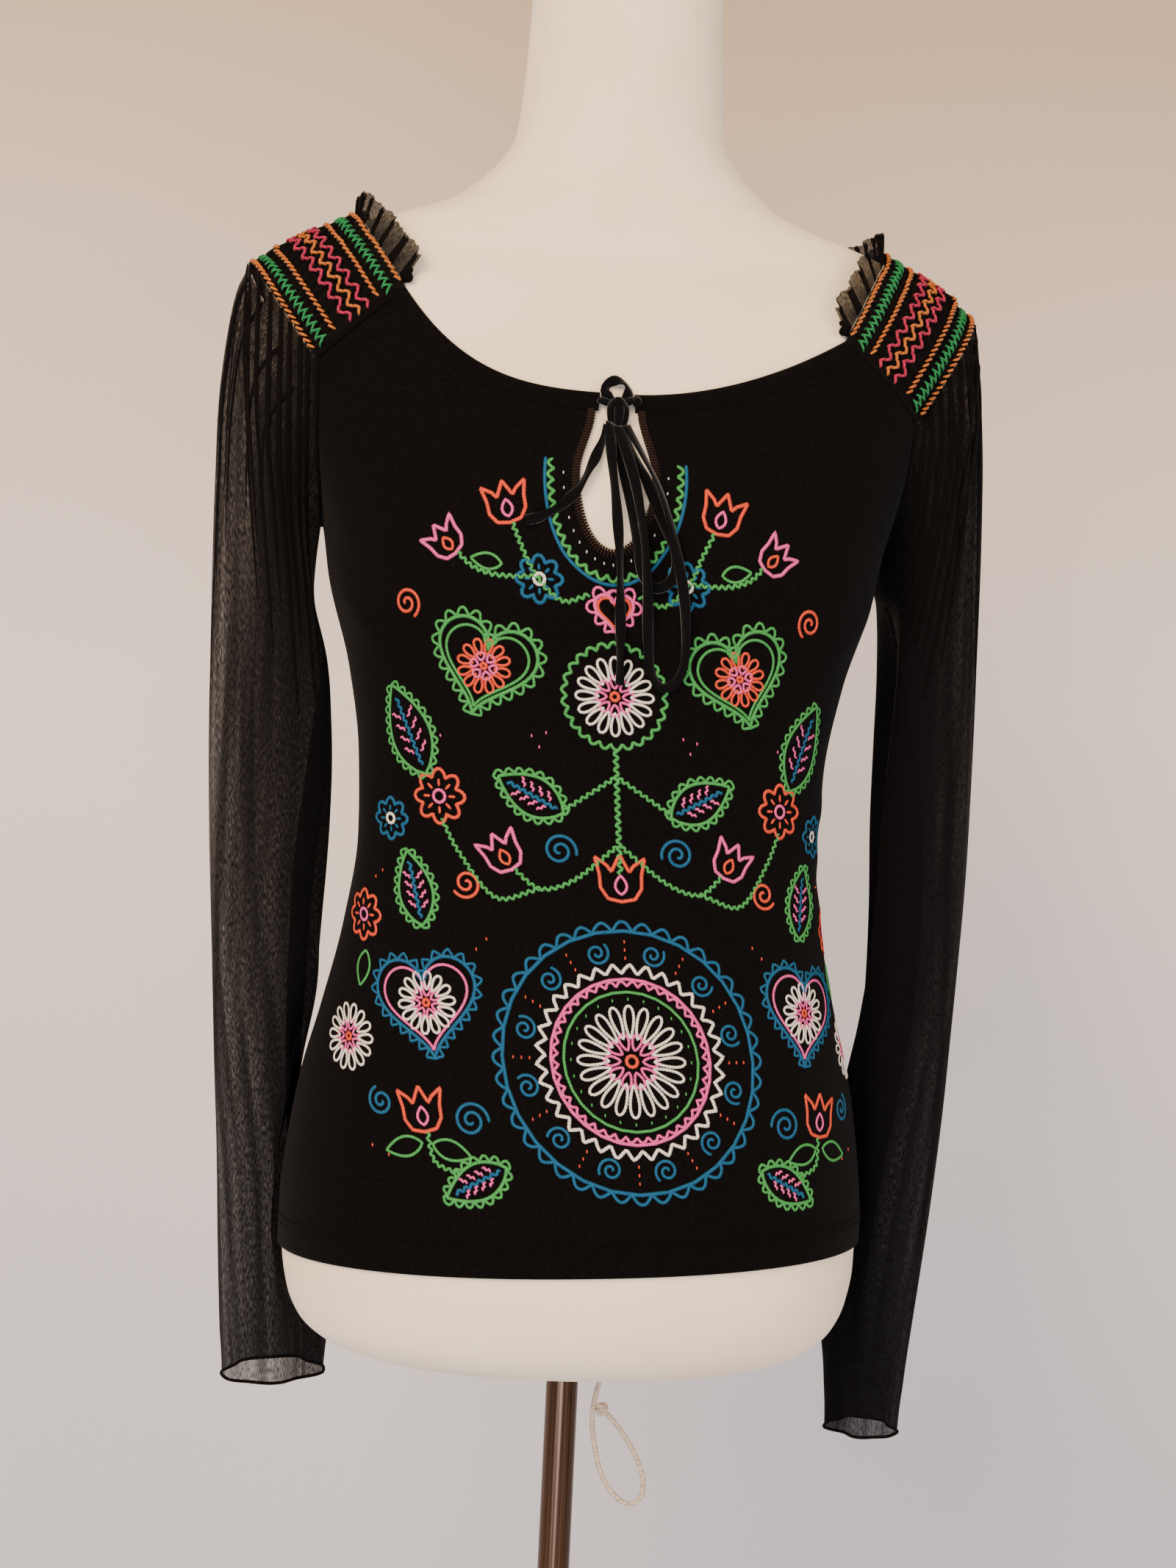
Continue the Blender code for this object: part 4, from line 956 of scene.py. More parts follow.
@dataclass
class VelvetTie:
    """The ribbon that is tied in a bow over the keyhole."""

    width: float = 0.0060
    thickness: float = 0.0012
    sink: float = 0.0022
    knot_z: float = 1.2670
    under: float = 0.0064
    over: float = 0.0110
    under_knot: float = 0.0046
    over_knot: float = 0.0092
    fold_half: float = 0.0027
    end_half: float = 0.0024

    def routes(self) -> dict:
        """Each strand's route: points of x, z and height off the form, which says what it lies on."""
        u, o, uk, ok = self.under, self.over, self.under_knot, self.over_knot
        return {
            "tie_loop_small": [
                (-0.0102, 1.2738, u), (-0.0134, 1.2796, u), (-0.0120, 1.2843, u), (-0.0070, 1.2866, u),
                (-0.0020, 1.2843, u), (-0.0006, 1.2796, u), (-0.0038, 1.2738, u),
            ],
            "tie_loop_short": [
                (-0.0030, 1.2590, uk), (0.0025, 1.2440, u), (0.0098, 1.2290, u), (0.0180, 1.2100, u),
                (0.0265, 1.1920, u), (0.0255, 1.1795, u), (0.0165, 1.1745, u), (0.0090, 1.1820, u),
                (0.0045, 1.2000, u), (0.0002, 1.2210, u), (-0.0048, 1.2420, u), (-0.0074, 1.2586, uk),
            ],
            "tie_loop_long": [
                (-0.0024, 1.2592, ok), (0.0060, 1.2430, o), (0.0165, 1.2230, o), (0.0245, 1.1990, o),
                (0.0315, 1.1720, o), (0.0362, 1.1450, u), (0.0345, 1.1290, u), (0.0262, 1.1220, u),
                (0.0185, 1.1300, u), (0.0150, 1.1500, u), (0.0118, 1.1750, o), (0.0080, 1.2020, o),
                (0.0020, 1.2290, o), (-0.0068, 1.2586, ok),
            ],
            "tie_tail_centre": [
                (-0.0112, 1.2604, ok), (-0.0104, 1.2410, o), (-0.0072, 1.2150, o), (-0.0040, 1.1890, o),
                (-0.0010, 1.1600, u), (0.0012, 1.1350, u), (0.0020, 1.1225, u),
            ],
            "tie_tail_side": [
                (-0.0118, 1.2606, uk), (-0.0160, 1.2480, u), (-0.0215, 1.2350, u), (-0.0280, 1.2230, u),
                (-0.0370, 1.2140, u), (-0.0470, 1.2085, u), (-0.0545, 1.2065, u),
            ],
        }

    def strand(self, name: str, stops: list, finish: bpy.types.Material) -> bpy.types.Object:
        """Build one loop or tail as a flat ribbon."""
        stops = np.array(stops)
        turn = SKIN.turn_at(stops[:, 0], stops[:, 1])
        path = smooth_route(SKIN.off_skin(turn, stops[:, 1], stops[:, 2] - self.sink), 0.0018)
        tangent = unit(np.gradient(path, axis=0))
        outwards = SKIN.outward(path)
        across = unit(np.cross(tangent, outwards))
        swing = np.linspace(0, 1, len(path))
        twist = 0.9 * np.sin(swing * 3 * pi + len(name))
        flat = across * np.cos(twist)[:, None] + outwards * np.sin(twist)[:, None]
        face = unit(np.cross(flat, tangent))
        half, thick = self.width / 2, self.thickness / 2
        outline = [(-1, 0), (-0.8, 0.9), (0, 1.1), (0.8, 0.9), (1, 0), (0.8, -0.9), (0, -1.1), (-0.8, -0.9)]
        rows = [path + flat * (half * a) + face * (thick * b) for a, b in outline]
        grid = np.stack(rows, axis=1)
        piece = mesh_piece(name + "_ribbon", grid.reshape(-1, 3), tube_faces(len(path), len(outline)))
        settle(piece, finish, "black_velvet", name)
        float(walked_along(path)[-1])
        "object" if "loop" in name else "bare"
        return piece

    def front_path(self, stops: tuple) -> tuple[Array, Array]:
        """A smooth path over the front, from points of x from the keyhole, z and height off the form."""
        stops = np.array(stops)
        turn = SKIN.turn_at(TOP.keyhole_x + stops[:, 0], stops[:, 1])
        path = smooth_route(SKIN.off_skin(turn, stops[:, 1], stops[:, 2]), 0.0008)
        return path, SKIN.outward(path)

    def knot(self, finish: bpy.types.Material) -> bpy.types.Object:
        """Build the knot: folded ribbon round the strands, and the ends that leave the casing.

        Each fold and each end is a path of points: x from the keyhole, height and distance off the form.
        """
        z = self.knot_z
        folds = (
            ((-0.0030, z - 0.0080, 0.0050), (-0.0034, z, 0.0078), (-0.0020, z + 0.0078, 0.0054)),
            ((0.0002, z - 0.0084, 0.0058), (0.0006, z, 0.0094), (0.0004, z + 0.0084, 0.0062)),
            ((0.0034, z - 0.0074, 0.0048), (0.0036, z, 0.0076), (0.0026, z + 0.0074, 0.0052)),
            ((-0.0052, z + 0.0016, 0.0052), (0.0000, z + 0.0034, 0.0112), (0.0052, z + 0.0012, 0.0052)),
        )
        ends = (
            ((-0.0108, z + 0.0072, 0.0034), (-0.0080, z + 0.0066, 0.0050), (-0.0036, z + 0.0040, 0.0062)),
            ((0.0108, z + 0.0078, 0.0034), (0.0078, z + 0.0076, 0.0052), (0.0036, z + 0.0044, 0.0062)),
            ((0.0098, z + 0.0104, 0.0044), (0.0112, z + 0.0070, 0.0056), (0.0092, z + 0.0048, 0.0044)),
        )
        parts = []
        halves = [self.fold_half] * len(folds) + [self.end_half] * len(ends)
        for stops, half in zip(folds + ends, halves):
            path, away = self.front_path(stops)
            swing = np.linspace(-pi / 2, pi / 2, len(path))
            radius = half * (0.35 + 0.65 * np.cos(swing) ** 0.5)
            parts.append(tube_points(path, radius, 12, away, flat=0.62))
        piece = mesh_piece("tie_knot_wrap", *joined(parts))
        return settle(piece, finish, "black_velvet", "tie_knot")

    def build(self) -> None:
        """Build the bow."""
        finish = Velvet().make()
        for name, stops in self.routes().items():
            self.strand(name, stops, finish)
        self.knot(finish)


@dataclass
class DressForm:
    """The limbless torso, its cover's drawstring, and the stand."""

    columns: int = 180
    drawstring: tuple = (
        (0.0205, -0.0200, 0.7276), (0.0203, -0.0200, 0.7190), (0.0175, -0.0205, 0.7070),
        (0.0165, -0.0215, 0.6940), (0.0185, -0.0220, 0.6800), (0.0225, -0.0225, 0.6650),
        (0.0300, -0.0225, 0.6525), (0.0400, -0.0225, 0.6460), (0.0470, -0.0225, 0.6500),
        (0.0480, -0.0225, 0.6610), (0.0435, -0.0220, 0.6730), (0.0370, -0.0210, 0.6840),
        (0.0290, -0.0200, 0.6940), (0.0215, -0.0200, 0.7010),
    )

    def torso(self) -> None:
        """Build the torso in its stretched cover, open at the socket underneath."""
        heights = np.concatenate([np.linspace(0.728, 0.80, 40), np.linspace(0.805, 1.34, 110),
                                  np.linspace(1.342, 1.45, 60), np.linspace(1.455, 1.559, 40)])
        turns = np.linspace(0, 2 * pi, self.columns, endpoint=False)
        grid = SKIN.on_skin(turns, heights[:, None])
        floor, top = heights[0], heights[-1]
        circle = np.stack([np.sin(turns), -np.cos(turns)], axis=-1)
        lower = []
        for radius, z in ((0.0098, floor + 0.03), (0.0098, floor), (0.03, floor), (0.06, floor)):
            lower.append(np.concatenate([circle * radius, np.full((len(turns), 1), z)], axis=1))
        upper = [grid[-1] * (share, share, 1) for share in (0.9, 0.5, 0.02)]
        full = np.concatenate([np.array(lower), grid, np.array(upper)])
        u, v = np.meshgrid(np.linspace(0, 0.9, self.columns + 1), walked_along(full[:, 0]))
        piece = grid_piece("form_torso_cover", full, np.stack([u, v], axis=-1), wrap=True)
        settle(piece, KnitCover().make(), "cream_cover", "form_torso")

    def cord(self) -> None:
        """Build the drawstring: a loop that comes out underneath and knots on itself."""
        path = smooth_route(self.drawstring, 0.0012)
        points, faces = tube_points(path, 0.0015, 10)
        piece = mesh_piece("form_drawstring_cord", points, faces)
        cotton = Yarn("cotton_cord", "C6B8A6", "8C7F70", grain_mm=1.2, roughness=0.9)
        finish = cotton.make()
        settle(piece, finish, "cream_cotton", "form_drawstring")
        swing = np.linspace(0, 2 * pi, 90, endpoint=False)
        trefoil = np.stack([
            np.sin(swing) + 2 * np.sin(2 * swing), -np.sin(3 * swing), np.cos(swing) - 2 * np.cos(2 * swing),
        ], axis=-1)
        knot = tube_points(path[-1] + trefoil * 0.0011, 0.0013, 10, closed=True)
        tied = mesh_piece("form_drawstring_knot", *knot)
        settle(tied, finish, "cream_cotton")
        float(walked_along(path)[-1])

    def stand(self) -> None:
        """Build the pole and the foot."""
        bronze = BronzedSteel().make()
        bpy.ops.object.select_all(action="DESELECT")
        bpy.ops.mesh.primitive_cylinder_add(vertices=96, radius=0.0095, depth=0.7474, location=(0, 0, 0.384))
        pole = bpy.context.object
        pole.name = "stand_pole_tube"
        bpy.ops.object.transform_apply(location=True, rotation=True, scale=True)
        pole.data.shade_smooth()
        bpy.ops.object.shade_smooth_by_angle(angle=radians(35))
        settle(pole, bronze, "bronzed_steel", "stand_pole")
        profile = smooth_route([(0.0098, 0, 0.045), (0.0165, 0, 0.045), (0.018, 0, 0.0435)], 0.002)
        rest = [
            (0.018, 0, 0.015), (0.0188, 0, 0.0125), (0.023, 0, 0.0105), (0.145, 0, 0.008), (0.157, 0, 0.006),
            (0.1597, 0, 0.0040), (0.16, 0, 0.003), (0.1595, 0, 0.0008), (0.1585, 0, 0.0), (0.0001, 0, 0.0),
        ]
        line = np.array([(0.0001, 0, 0.0101), (0.0098, 0, 0.0101), *profile, *rest])
        turns = np.linspace(0, 2 * pi, 128, endpoint=False)
        grid = np.stack([line[:, 0:1] * np.cos(turns), line[:, 0:1] * np.sin(turns),
                         np.broadcast_to(line[:, 2:3], (len(line), 128))], axis=-1)
        foot = grid_piece("stand_foot_plate", grid[::-1], wrap=True)
        bpy.ops.object.select_all(action="DESELECT")
        foot.select_set(True)
        bpy.context.view_layer.objects.active = foot
        bpy.ops.object.shade_smooth_by_angle(angle=radians(30))
        settle(foot, bronze, "bronzed_steel", "stand_foot")

    def build(self) -> None:
        """Build the whole form."""
        self.torso()
        self.cord()
        self.stand()


@dataclass(frozen=True)
class Fold:
    """A soft fold of the jersey, from one place to another. Places are a turn in degrees and a height."""

    start: tuple
    end: tuple
    width: float
    rise: float


@dataclass
class JerseyBody:
    """The jersey body: front with its keyhole, back, turned neck edge and hems."""

    lift: float = 0.0013
    wall: float = 0.0009
    neck_columns: int = 30
    seam_columns: int = 10
    armhole_columns: int = 18
    keyhole_columns: int = 10
    panel_rows: int = 84
    yoke_rows: int = 36
    hem_shares: tuple = (1.0, 0.9, 0.7, 0.5, 0.3, 0.12)
    cut: tuple = (0.46, 0.52)
    folds: tuple = (
        Fold((70, 1.205), (38, 1.185), 0.012, 0.0022),
        Fold((74, 1.180), (48, 1.140), 0.012, 0.0020),
        Fold((86, 1.060), (52, 1.052), 0.010, 0.0018),
        Fold((88, 1.028), (46, 1.030), 0.009, 0.0016),
        Fold((84, 1.000), (58, 1.004), 0.010, 0.0013),
        Fold((-70, 1.205), (-36, 1.190), 0.012, 0.0022),
        Fold((-74, 1.178), (-50, 1.135), 0.012, 0.0020),
        Fold((-86, 1.050), (-50, 1.046), 0.010, 0.0018),
        Fold((-86, 1.018), (-44, 1.022), 0.009, 0.0016),
        Fold((-82, 0.990), (-56, 0.997), 0.010, 0.0013),
        Fold((150, 1.060), (210, 1.055), 0.010, 0.0020),
        Fold((140, 1.030), (218, 1.028), 0.009, 0.0022),
        Fold((152, 1.000), (206, 1.004), 0.010, 0.0018),
        Fold((110, 1.200), (140, 1.160), 0.013, 0.0020),
        Fold((250, 1.200), (220, 1.160), 0.013, 0.0020),
    )

    def rise(self, turn: Array, z: Array) -> Array:
        """How far the folds lift the cloth."""
        turn = np.asarray(turn, float)
        total = np.zeros(np.broadcast(turn, z).shape)
        reach = 0.14
        for fold in self.folds:
            start = np.array([radians(fold.start[0]) * reach, fold.start[1]])
            end = np.array([radians(fold.end[0]) * reach, fold.end[1]])
            way = end - start
            length = np.hypot(*way)
            lap = (turn - radians(fold.start[0]) + pi) % (2 * pi) - pi + radians(fold.start[0])
            a, b = lap * reach - start[0], np.asarray(z) - start[1]
            along = (a * way[0] + b * way[1]) / length**2
            off = (a * way[1] - b * way[0]) / length
            taper = np.clip(1 - (2 * along - 1) ** 2, 0, 1) ** 1.5
            total = total + fold.rise * taper * np.exp(-((off / fold.width) ** 2))
        return total

    def face(self, turn: Array, z: Array, above: float = 0.0) -> Array:
        """Points on the jersey's outer face, or above it."""
        return SKIN.off_skin(turn, z, self.lift + self.wall + self.rise(turn, z) + above)

    def side_columns(self, side: int) -> tuple:
        """Turns and heights of half a front's columns, at the hem, the yoke line and the top."""
        last_turn = side * pi / 2
        stations = TOP.keyhole_x + side * TOP.keyhole_half_at_casing
        neck_x = np.linspace(stations, side * TOP.panel_corner_x, self.neck_columns + 1)
        corners = side * TOP.panel_corner_x, side * TOP.armhole_corner_x
        seam_x = np.linspace(*corners, self.seam_columns + 1)[1:]
        neck_z, seam_z = TOP.casing_seam_z(neck_x), TOP.shoulder_seam_z(seam_x)
        arm_turn, arm_z = TOP.armhole(side, np.linspace(0, 1, self.armhole_columns + 1)[1:])
        top_turn = np.concatenate([SKIN.turn_at(neck_x, neck_z), SKIN.turn_at(seam_x, seam_z), arm_turn])
        top_z = np.concatenate([neck_z, seam_z, arm_z])
        part = np.linspace(0, 1, len(top_turn))
        yoke_turn = SKIN.turn_at(TOP.keyhole_x + side * TOP.keyhole_half, TOP.keyhole_wide_z)
        spread = (top_turn - top_turn[0]) / (top_turn[-1] - top_turn[0])
        yoke = (blend(yoke_turn, last_turn, spread), blend(TOP.keyhole_wide_z, TOP.yoke_side_z, part**1.3))
        return blend(side * radians(12), last_turn, part), yoke, (top_turn, top_z)

    def front_places(self) -> tuple[Array, Array]:
        """Turns and heights of the front's points, from the hem up, the keyhole left out."""
        right_hem, right_yoke, right_top = self.side_columns(-1)
        left_hem, left_yoke, left_top = self.side_columns(1)
        swing = np.linspace(-pi / 2, pi / 2, 2 * self.keyhole_columns + 1)[1:-1]
        key_x = TOP.keyhole_x + TOP.keyhole_half * np.sin(swing)
        key_z = blend(TOP.keyhole_wide_z, TOP.keyhole_foot_z, np.cos(swing))
        key = (SKIN.turn_at(key_x, key_z), key_z)
        missing = np.full(len(swing), np.nan)
        hem_turn = np.concatenate([right_hem[::-1], radians(12) * swing / (pi / 2), left_hem])
        yoke = [np.concatenate([r[::-1], k, l]) for r, k, l in zip(right_yoke, key, left_yoke)]
        top = [np.concatenate([r[::-1], missing, l]) for r, l in zip(right_top, left_top)]
        foot_z = TOP.panel_foot_z(hem_turn)
        rows = [[hem_turn, foot_z - TOP.hem_band * share] for share in self.hem_shares]
        for part in np.linspace(0, 1, self.panel_rows + 1) ** 0.9:
            rows.append([blend(low, high, part) for low, high in zip((hem_turn, foot_z), yoke)])
        edges = {len(right_hem) - 1: -1, len(right_hem) + len(swing): 1}
        for part in np.linspace(0, 1, self.yoke_rows + 1)[1:]:
            turn, z = (blend(low, high, part) for low, high in zip(yoke, top))
            for column, side in edges.items():
                turn[column] = SKIN.turn_at(TOP.keyhole_x + side * TOP.keyhole_half_at(z[column]), z[column])
            rows.append([turn, z])
        turn, z = np.moveaxis(np.array(rows), 1, 0)
        return turn, z

    def back_places(self) -> tuple[Array, Array]:
        """Turns and heights of the back's points, from the wearer's left side round to the right."""
        neck_x = np.linspace(TOP.panel_corner_x, -TOP.panel_corner_x, 2 * self.neck_columns + 1)
        neck_z = TOP.casing_seam_z(neck_x, behind=True)
        turns, heights = [], []
        for side, order in ((1, slice(None)), (-1, slice(None, None, -1))):
            part = np.linspace(1, 0, self.armhole_columns + 1)
            arm_turn, arm_z = TOP.armhole(side, part, behind=True)
            seam_x = side * np.linspace(TOP.armhole_corner_x, TOP.panel_corner_x, self.seam_columns + 1)[1:-1]
            seam_z = TOP.shoulder_seam_z(seam_x, behind=True)
            seam_turn = SKIN.turn_at(seam_x, seam_z, behind=True)
            turns.append(np.concatenate([arm_turn, seam_turn])[order] % (2 * pi))
            heights.append(np.concatenate([arm_z, seam_z])[order])
        neck_turn = SKIN.turn_at(neck_x, neck_z, behind=True) % (2 * pi)
        top_turn = np.concatenate([turns[0], neck_turn, turns[1]])
        top_z = np.concatenate([heights[0], neck_z, heights[1]])
        hem_turn = np.linspace(pi / 2, 3 * pi / 2, len(top_turn))
        foot_z = TOP.panel_foot_z(hem_turn)
        band = np.array(self.hem_shares)[:, None]
        part = np.linspace(0, 1, self.panel_rows + 25)[:, None] ** 0.9
        hem_rows = np.broadcast_to(hem_turn, (len(band), len(hem_turn)))
        turn = np.concatenate([hem_rows, blend(hem_turn, top_turn, part)])
        z = np.concatenate([foot_z - TOP.hem_band * band, blend(foot_z, top_z, part)])
        return turn, z

    def panel(self, name: str, places: tuple, finish: bpy.types.Material, *nodes: str) -> None:
        """Build a panel with its turned hem."""
        turn, z = places
        seen = np.where(np.isnan(turn), 0.0, turn), np.where(np.isnan(z), 1.0, z)
        band = (seen[1] < TOP.panel_foot_z(seen[0]) - 0.0004) * 0.0004
        grid = SKIN.off_skin(*seen, self.lift + self.rise(*seen) + band)
        grid[np.isnan(turn)] = np.nan
        uv = np.stack([seen[0] * 0.15, seen[1]], axis=-1)
        piece = grid_piece(name, grid, uv)
        solidify(piece, self.wall)
        settle(piece, finish, "black_jersey", *nodes)

    def casing(self, side: int, finish: bpy.types.Material) -> None:
        """Build the turned and stitched neck edge on one side of the front, or at the back for 0."""
        behind = side == 0
        count = 120
        if behind:
            lower_x = np.linspace(TOP.panel_corner_x, -TOP.panel_corner_x, count)
        else:
            start = TOP.keyhole_x + side * TOP.casing_end_half
            lower_x = np.linspace(start, side * TOP.panel_corner_x, count)
            if side < 0:
                lower_x = lower_x[::-1]
        upper_x = lower_x * TOP.casing_corner_x / TOP.panel_corner_x
        lower_z, upper_z = TOP.casing_seam_z(lower_x, behind), TOP.neckline_z(upper_x, behind)
        rows = []
        for share, lift in (
            (-0.10, 0.0022), (-0.10, 0.0026), (0.02, 0.0030), (0.10, 0.0027), (0.18, 0.0031), (0.5, 0.0034),
            (0.85, 0.0033), (0.97, 0.0028), (1.0, 0.0020), (0.97, 0.0011), (0.85, 0.0007), (0.4, 0.0008),
        ):
            x, z = blend(lower_x, upper_x, share), blend(lower_z, upper_z, share)
            turn = SKIN.turn_at(x, z, behind) % (2 * pi) if behind else SKIN.turn_at(x, z)
            rows.append(SKIN.off_skin(turn, z, lift))
        grid = np.array(rows)
        u, v = np.meshgrid(np.linspace(0, 0.3, count), np.linspace(0, 0.02, len(rows)))
        word = {1: "left", -1: "right", 0: "back"}[side]
        piece = grid_piece(f"neck_casing_{word}_turned", grid, np.stack([u, v], axis=-1))
        settle(piece, finish, "black_jersey", f"neck_casing_{word}")

    def sewing(self) -> None:
        """Build the stitches of the neck casing, the hems and the keyhole's overlocked edge."""
        thread = Yarn(
            "black_thread", "0B0909", "050404", grain_mm=0.5, roughness=0.7, sheen=0.02, specular=0.05
        )
        overlock = Yarn(
            "overlock_thread", "24140F", "100806", grain_mm=0.6, roughness=0.6, sheen=0.04, specular=0.1
        )
        rows = []
        for side in (-1, 1, 0):
            behind = side == 0
            ends = (-TOP.panel_corner_x, TOP.panel_corner_x) if behind else (
                TOP.keyhole_x + side * TOP.casing_end_half, side * TOP.panel_corner_x)
            x = np.linspace(*ends, 200)
            z = blend(TOP.casing_seam_z(x, behind), TOP.neckline_z(x * 0.95, behind), 0.12)
            turn = SKIN.turn_at(x, z, behind)
            skin = SKIN.on_skin(turn, z)
            away = SKIN.outward(skin)
            rows.append(dashes(skin + away * 0.0029, away, 0.0030, 0.0022, 0.00032, 0.0002))
        turns = np.linspace(0, 2 * pi, 700)
        foot_z = TOP.panel_foot_z(turns)
        for rise in (0.0006, 0.0046):
            line = self.face(turns, foot_z - rise, 0.0004)
            rows.append(dashes(line, SKIN.outward(line), 0.0031, 0.0023, 0.00032, 0.0002))
        piece = mesh_piece("top_stitching", *joined(rows))
        settle(piece, thread.make(), "black_jersey")
        self.keyhole_edge(overlock.make())

    def seams(self, finish: bpy.types.Material) -> None:
        """Build the raised seams round the armholes and along the smocking."""
        for side in Side:
            rows = []
            for behind in (False, True):
                x = side.value * np.linspace(TOP.panel_corner_x, TOP.armhole_corner_x, 30)
                z = TOP.shoulder_seam_z(x, behind)
                arm_turn, arm_z = TOP.armhole(side.value, np.linspace(0, 1, 60)[1:], behind)
                turn = np.concatenate([SKIN.turn_at(x, z, behind), arm_turn])
                path = SKIN.off_skin(turn, np.concatenate([z, arm_z]), 0.0028)
                rows.append(tube_points(path, 0.0017, 8, SKIN.outward(path), flat=0.7))
            piece = mesh_piece(f"armhole_seam_{side.word}", *joined(rows))
            settle(piece, finish, "black_jersey")

    def keyhole_edge(self, finish: bpy.types.Material) -> None:
        """Build the overlocked edge of the keyhole."""
        swing = np.linspace(-pi / 2, pi / 2, 120)
        z = np.concatenate([
            np.linspace(TOP.neck_z[0] - TOP.casing_width, TOP.keyhole_wide_z, 60)[:-1],
            blend(TOP.keyhole_wide_z, TOP.keyhole_foot_z, np.cos(swing)),
            np.linspace(TOP.keyhole_wide_z, TOP.neck_z[0] - TOP.casing_width, 60)[1:],
        ])
        x = TOP.keyhole_x + np.concatenate([
            -TOP.keyhole_half_at(z[:59]), TOP.keyhole_half * np.sin(swing), TOP.keyhole_half_at(z[-59:]),
        ])
        edge = self.face(SKIN.turn_at(x, z), z)
        away = SKIN.outward(edge)
        out = unit(np.cross(away, np.gradient(edge, axis=0)))
        walked = walked_along(edge)
        stops = np.arange(0.0008, walked[-1], 0.0017)
        spot, off, side_way = (read_at(stops, walked, track) for track in (edge, away, out))
        side_way = -unit(side_way)
        shape = ((-0.0006, -0.0012), (-0.0010, 0.0), (0.0002, 0.0007), (0.0022, 0.0006), (0.0030, -0.0002))
        paths = np.stack([spot + side_way * across + off * rise for across, rise in shape], axis=1)
        points, faces = stitch_bodies(paths, np.repeat(off[:, None], len(shape), axis=1),
                                      0.00075 * np.array([0.6, 1.0, 1.0, 1.0, 0.5]))
        piece = mesh_piece("keyhole_overlock", points, faces)
        settle(piece, finish, "black_jersey")

    def build(self) -> None:
        """Build the body of the top and its print."""
        finish = Jersey().make()
        self.panel("front_panel_cloth", self.front_places(), finish, "front_panel", "hem_front")
        self.panel("back_panel_cloth", self.back_places(), finish, "back_panel", "hem_back")
        for side in (-1, 1, 0):
            self.casing(side, finish)
        self.sewing()
        self.seams(finish)
        FrontPrint(self).build()


class Ink(Enum):
    """The print's colours, each with the deeper shade that its grain takes."""

    GREEN = ("3F9A4B", "2A7236")
    ORANGE = ("D9482B", "AC3620")
    PINK = ("E0559A", "B33F79")
    BLUE = ("0F587F", "0B415F")
    WHITE = ("E8E4D8", "BDB8A9")


class Frill(Enum):
    """How a line's edge runs: in bows, in points or in waves."""

    SCALLOP = "scallop"
    ZIGZAG = "zigzag"
    WAVE = "wave"


@dataclass(frozen=True)
class Stroke:
    """A line of the print: its points in metres on the flat front, and whether its ends meet."""

    ink: Ink
    points: Array
    closed: bool = False
    width: float = 0.0021

    def moved(self, place: tuple, turned: float = 0.0, mirrored: bool = False) -> "Stroke":
        """The stroke turned clockwise by some degrees and put in place, mirrored last if asked."""
        swing = radians(-turned)
        turn = np.array([[cos(swing), sin(swing)], [-sin(swing), cos(swing)]])
        points = self.points @ turn + place
        return Stroke(self.ink, points * (-1 if mirrored else 1, 1), self.closed, self.width)


def walk_line(points: Array, spacing: float, closed: bool = False) -> Array:
    """Evenly spaced points along a line of straight pieces.

    Args:
        points: The line's corners.
        spacing: About how far apart the new points are.
        closed: Whether the last corner joins the first.

    Returns:
        The points, without the first one again at the end.
    """
    points = np.concatenate([points, points[:1]]) if closed else np.asarray(points, float)
    walked = walked_along(points)
    count = max(int(round(walked[-1] / spacing)), 2)
    stops = np.linspace(0, walked[-1], count + 1)[: count if closed else None]
    return read_at(stops, walked, points)


def left_of(points: Array, closed: bool) -> Array:
    """The direction to the left of a flat line at each of its points."""
    way = unit(ahead_of(points, closed))
    return np.stack([-way[:, 1], way[:, 0]], axis=-1)


def ring(radius: float, lobes: int = 0, depth: float = 0.0) -> Array:
    """A circle, or one whose edge runs in round lobes."""
    swing = np.linspace(0, 2 * pi, max(28, lobes * 10), endpoint=False)
    reach = radius * (1 + depth * (np.abs(np.cos(lobes * swing / 2)) - 0.6)) if lobes else radius + 0 * swing
    return np.stack([reach * np.cos(swing), reach * np.sin(swing)], axis=-1)


def petal(start: float, end: float, half: float, angle: float) -> Array:
    """A loop that points outwards at an angle in degrees, wider towards its end."""
    swing = np.linspace(0, 2 * pi, 22, endpoint=False)
    part = (1 - np.cos(swing)) / 2
    along, across = blend(start, end, part), half * np.sin(swing) * (0.45 + 0.75 * part)
    way = radians(angle)
    return np.stack([along * cos(way) - across * sin(way), along * sin(way) + across * cos(way)], axis=-1)


def leaf(length: float, half: float) -> Array:
    """A leaf with a point at both ends, upright from its stalk."""
    part = np.concatenate([np.linspace(0, 1, 16), np.linspace(1, 0, 16)[1:-1]])
    side = np.concatenate([np.ones(16), -np.ones(14)])
    return np.stack([side * half * np.sin(pi * part**0.85) ** 0.9, length * part], axis=-1)


def heart(size: float) -> Array:
    """A heart as wide as its size, with its middle at the origin."""
    t = np.linspace(0, 2 * pi, 60, endpoint=False)
    across, up = 16 * np.sin(t) ** 3, 13 * np.cos(t) - 5 * np.cos(2 * t) - 2 * np.cos(3 * t) - np.cos(4 * t)
    return np.stack([across, up + 2.5], axis=-1) * size / 32


def coil(radius: float, turns: float) -> Array:
    """A flat spiral that opens outwards."""
    part = np.linspace(0.12, 1, 44)
    swing = 2 * pi * turns * part
    return np.stack([radius * part * np.cos(swing), radius * part * np.sin(swing)], axis=-1)


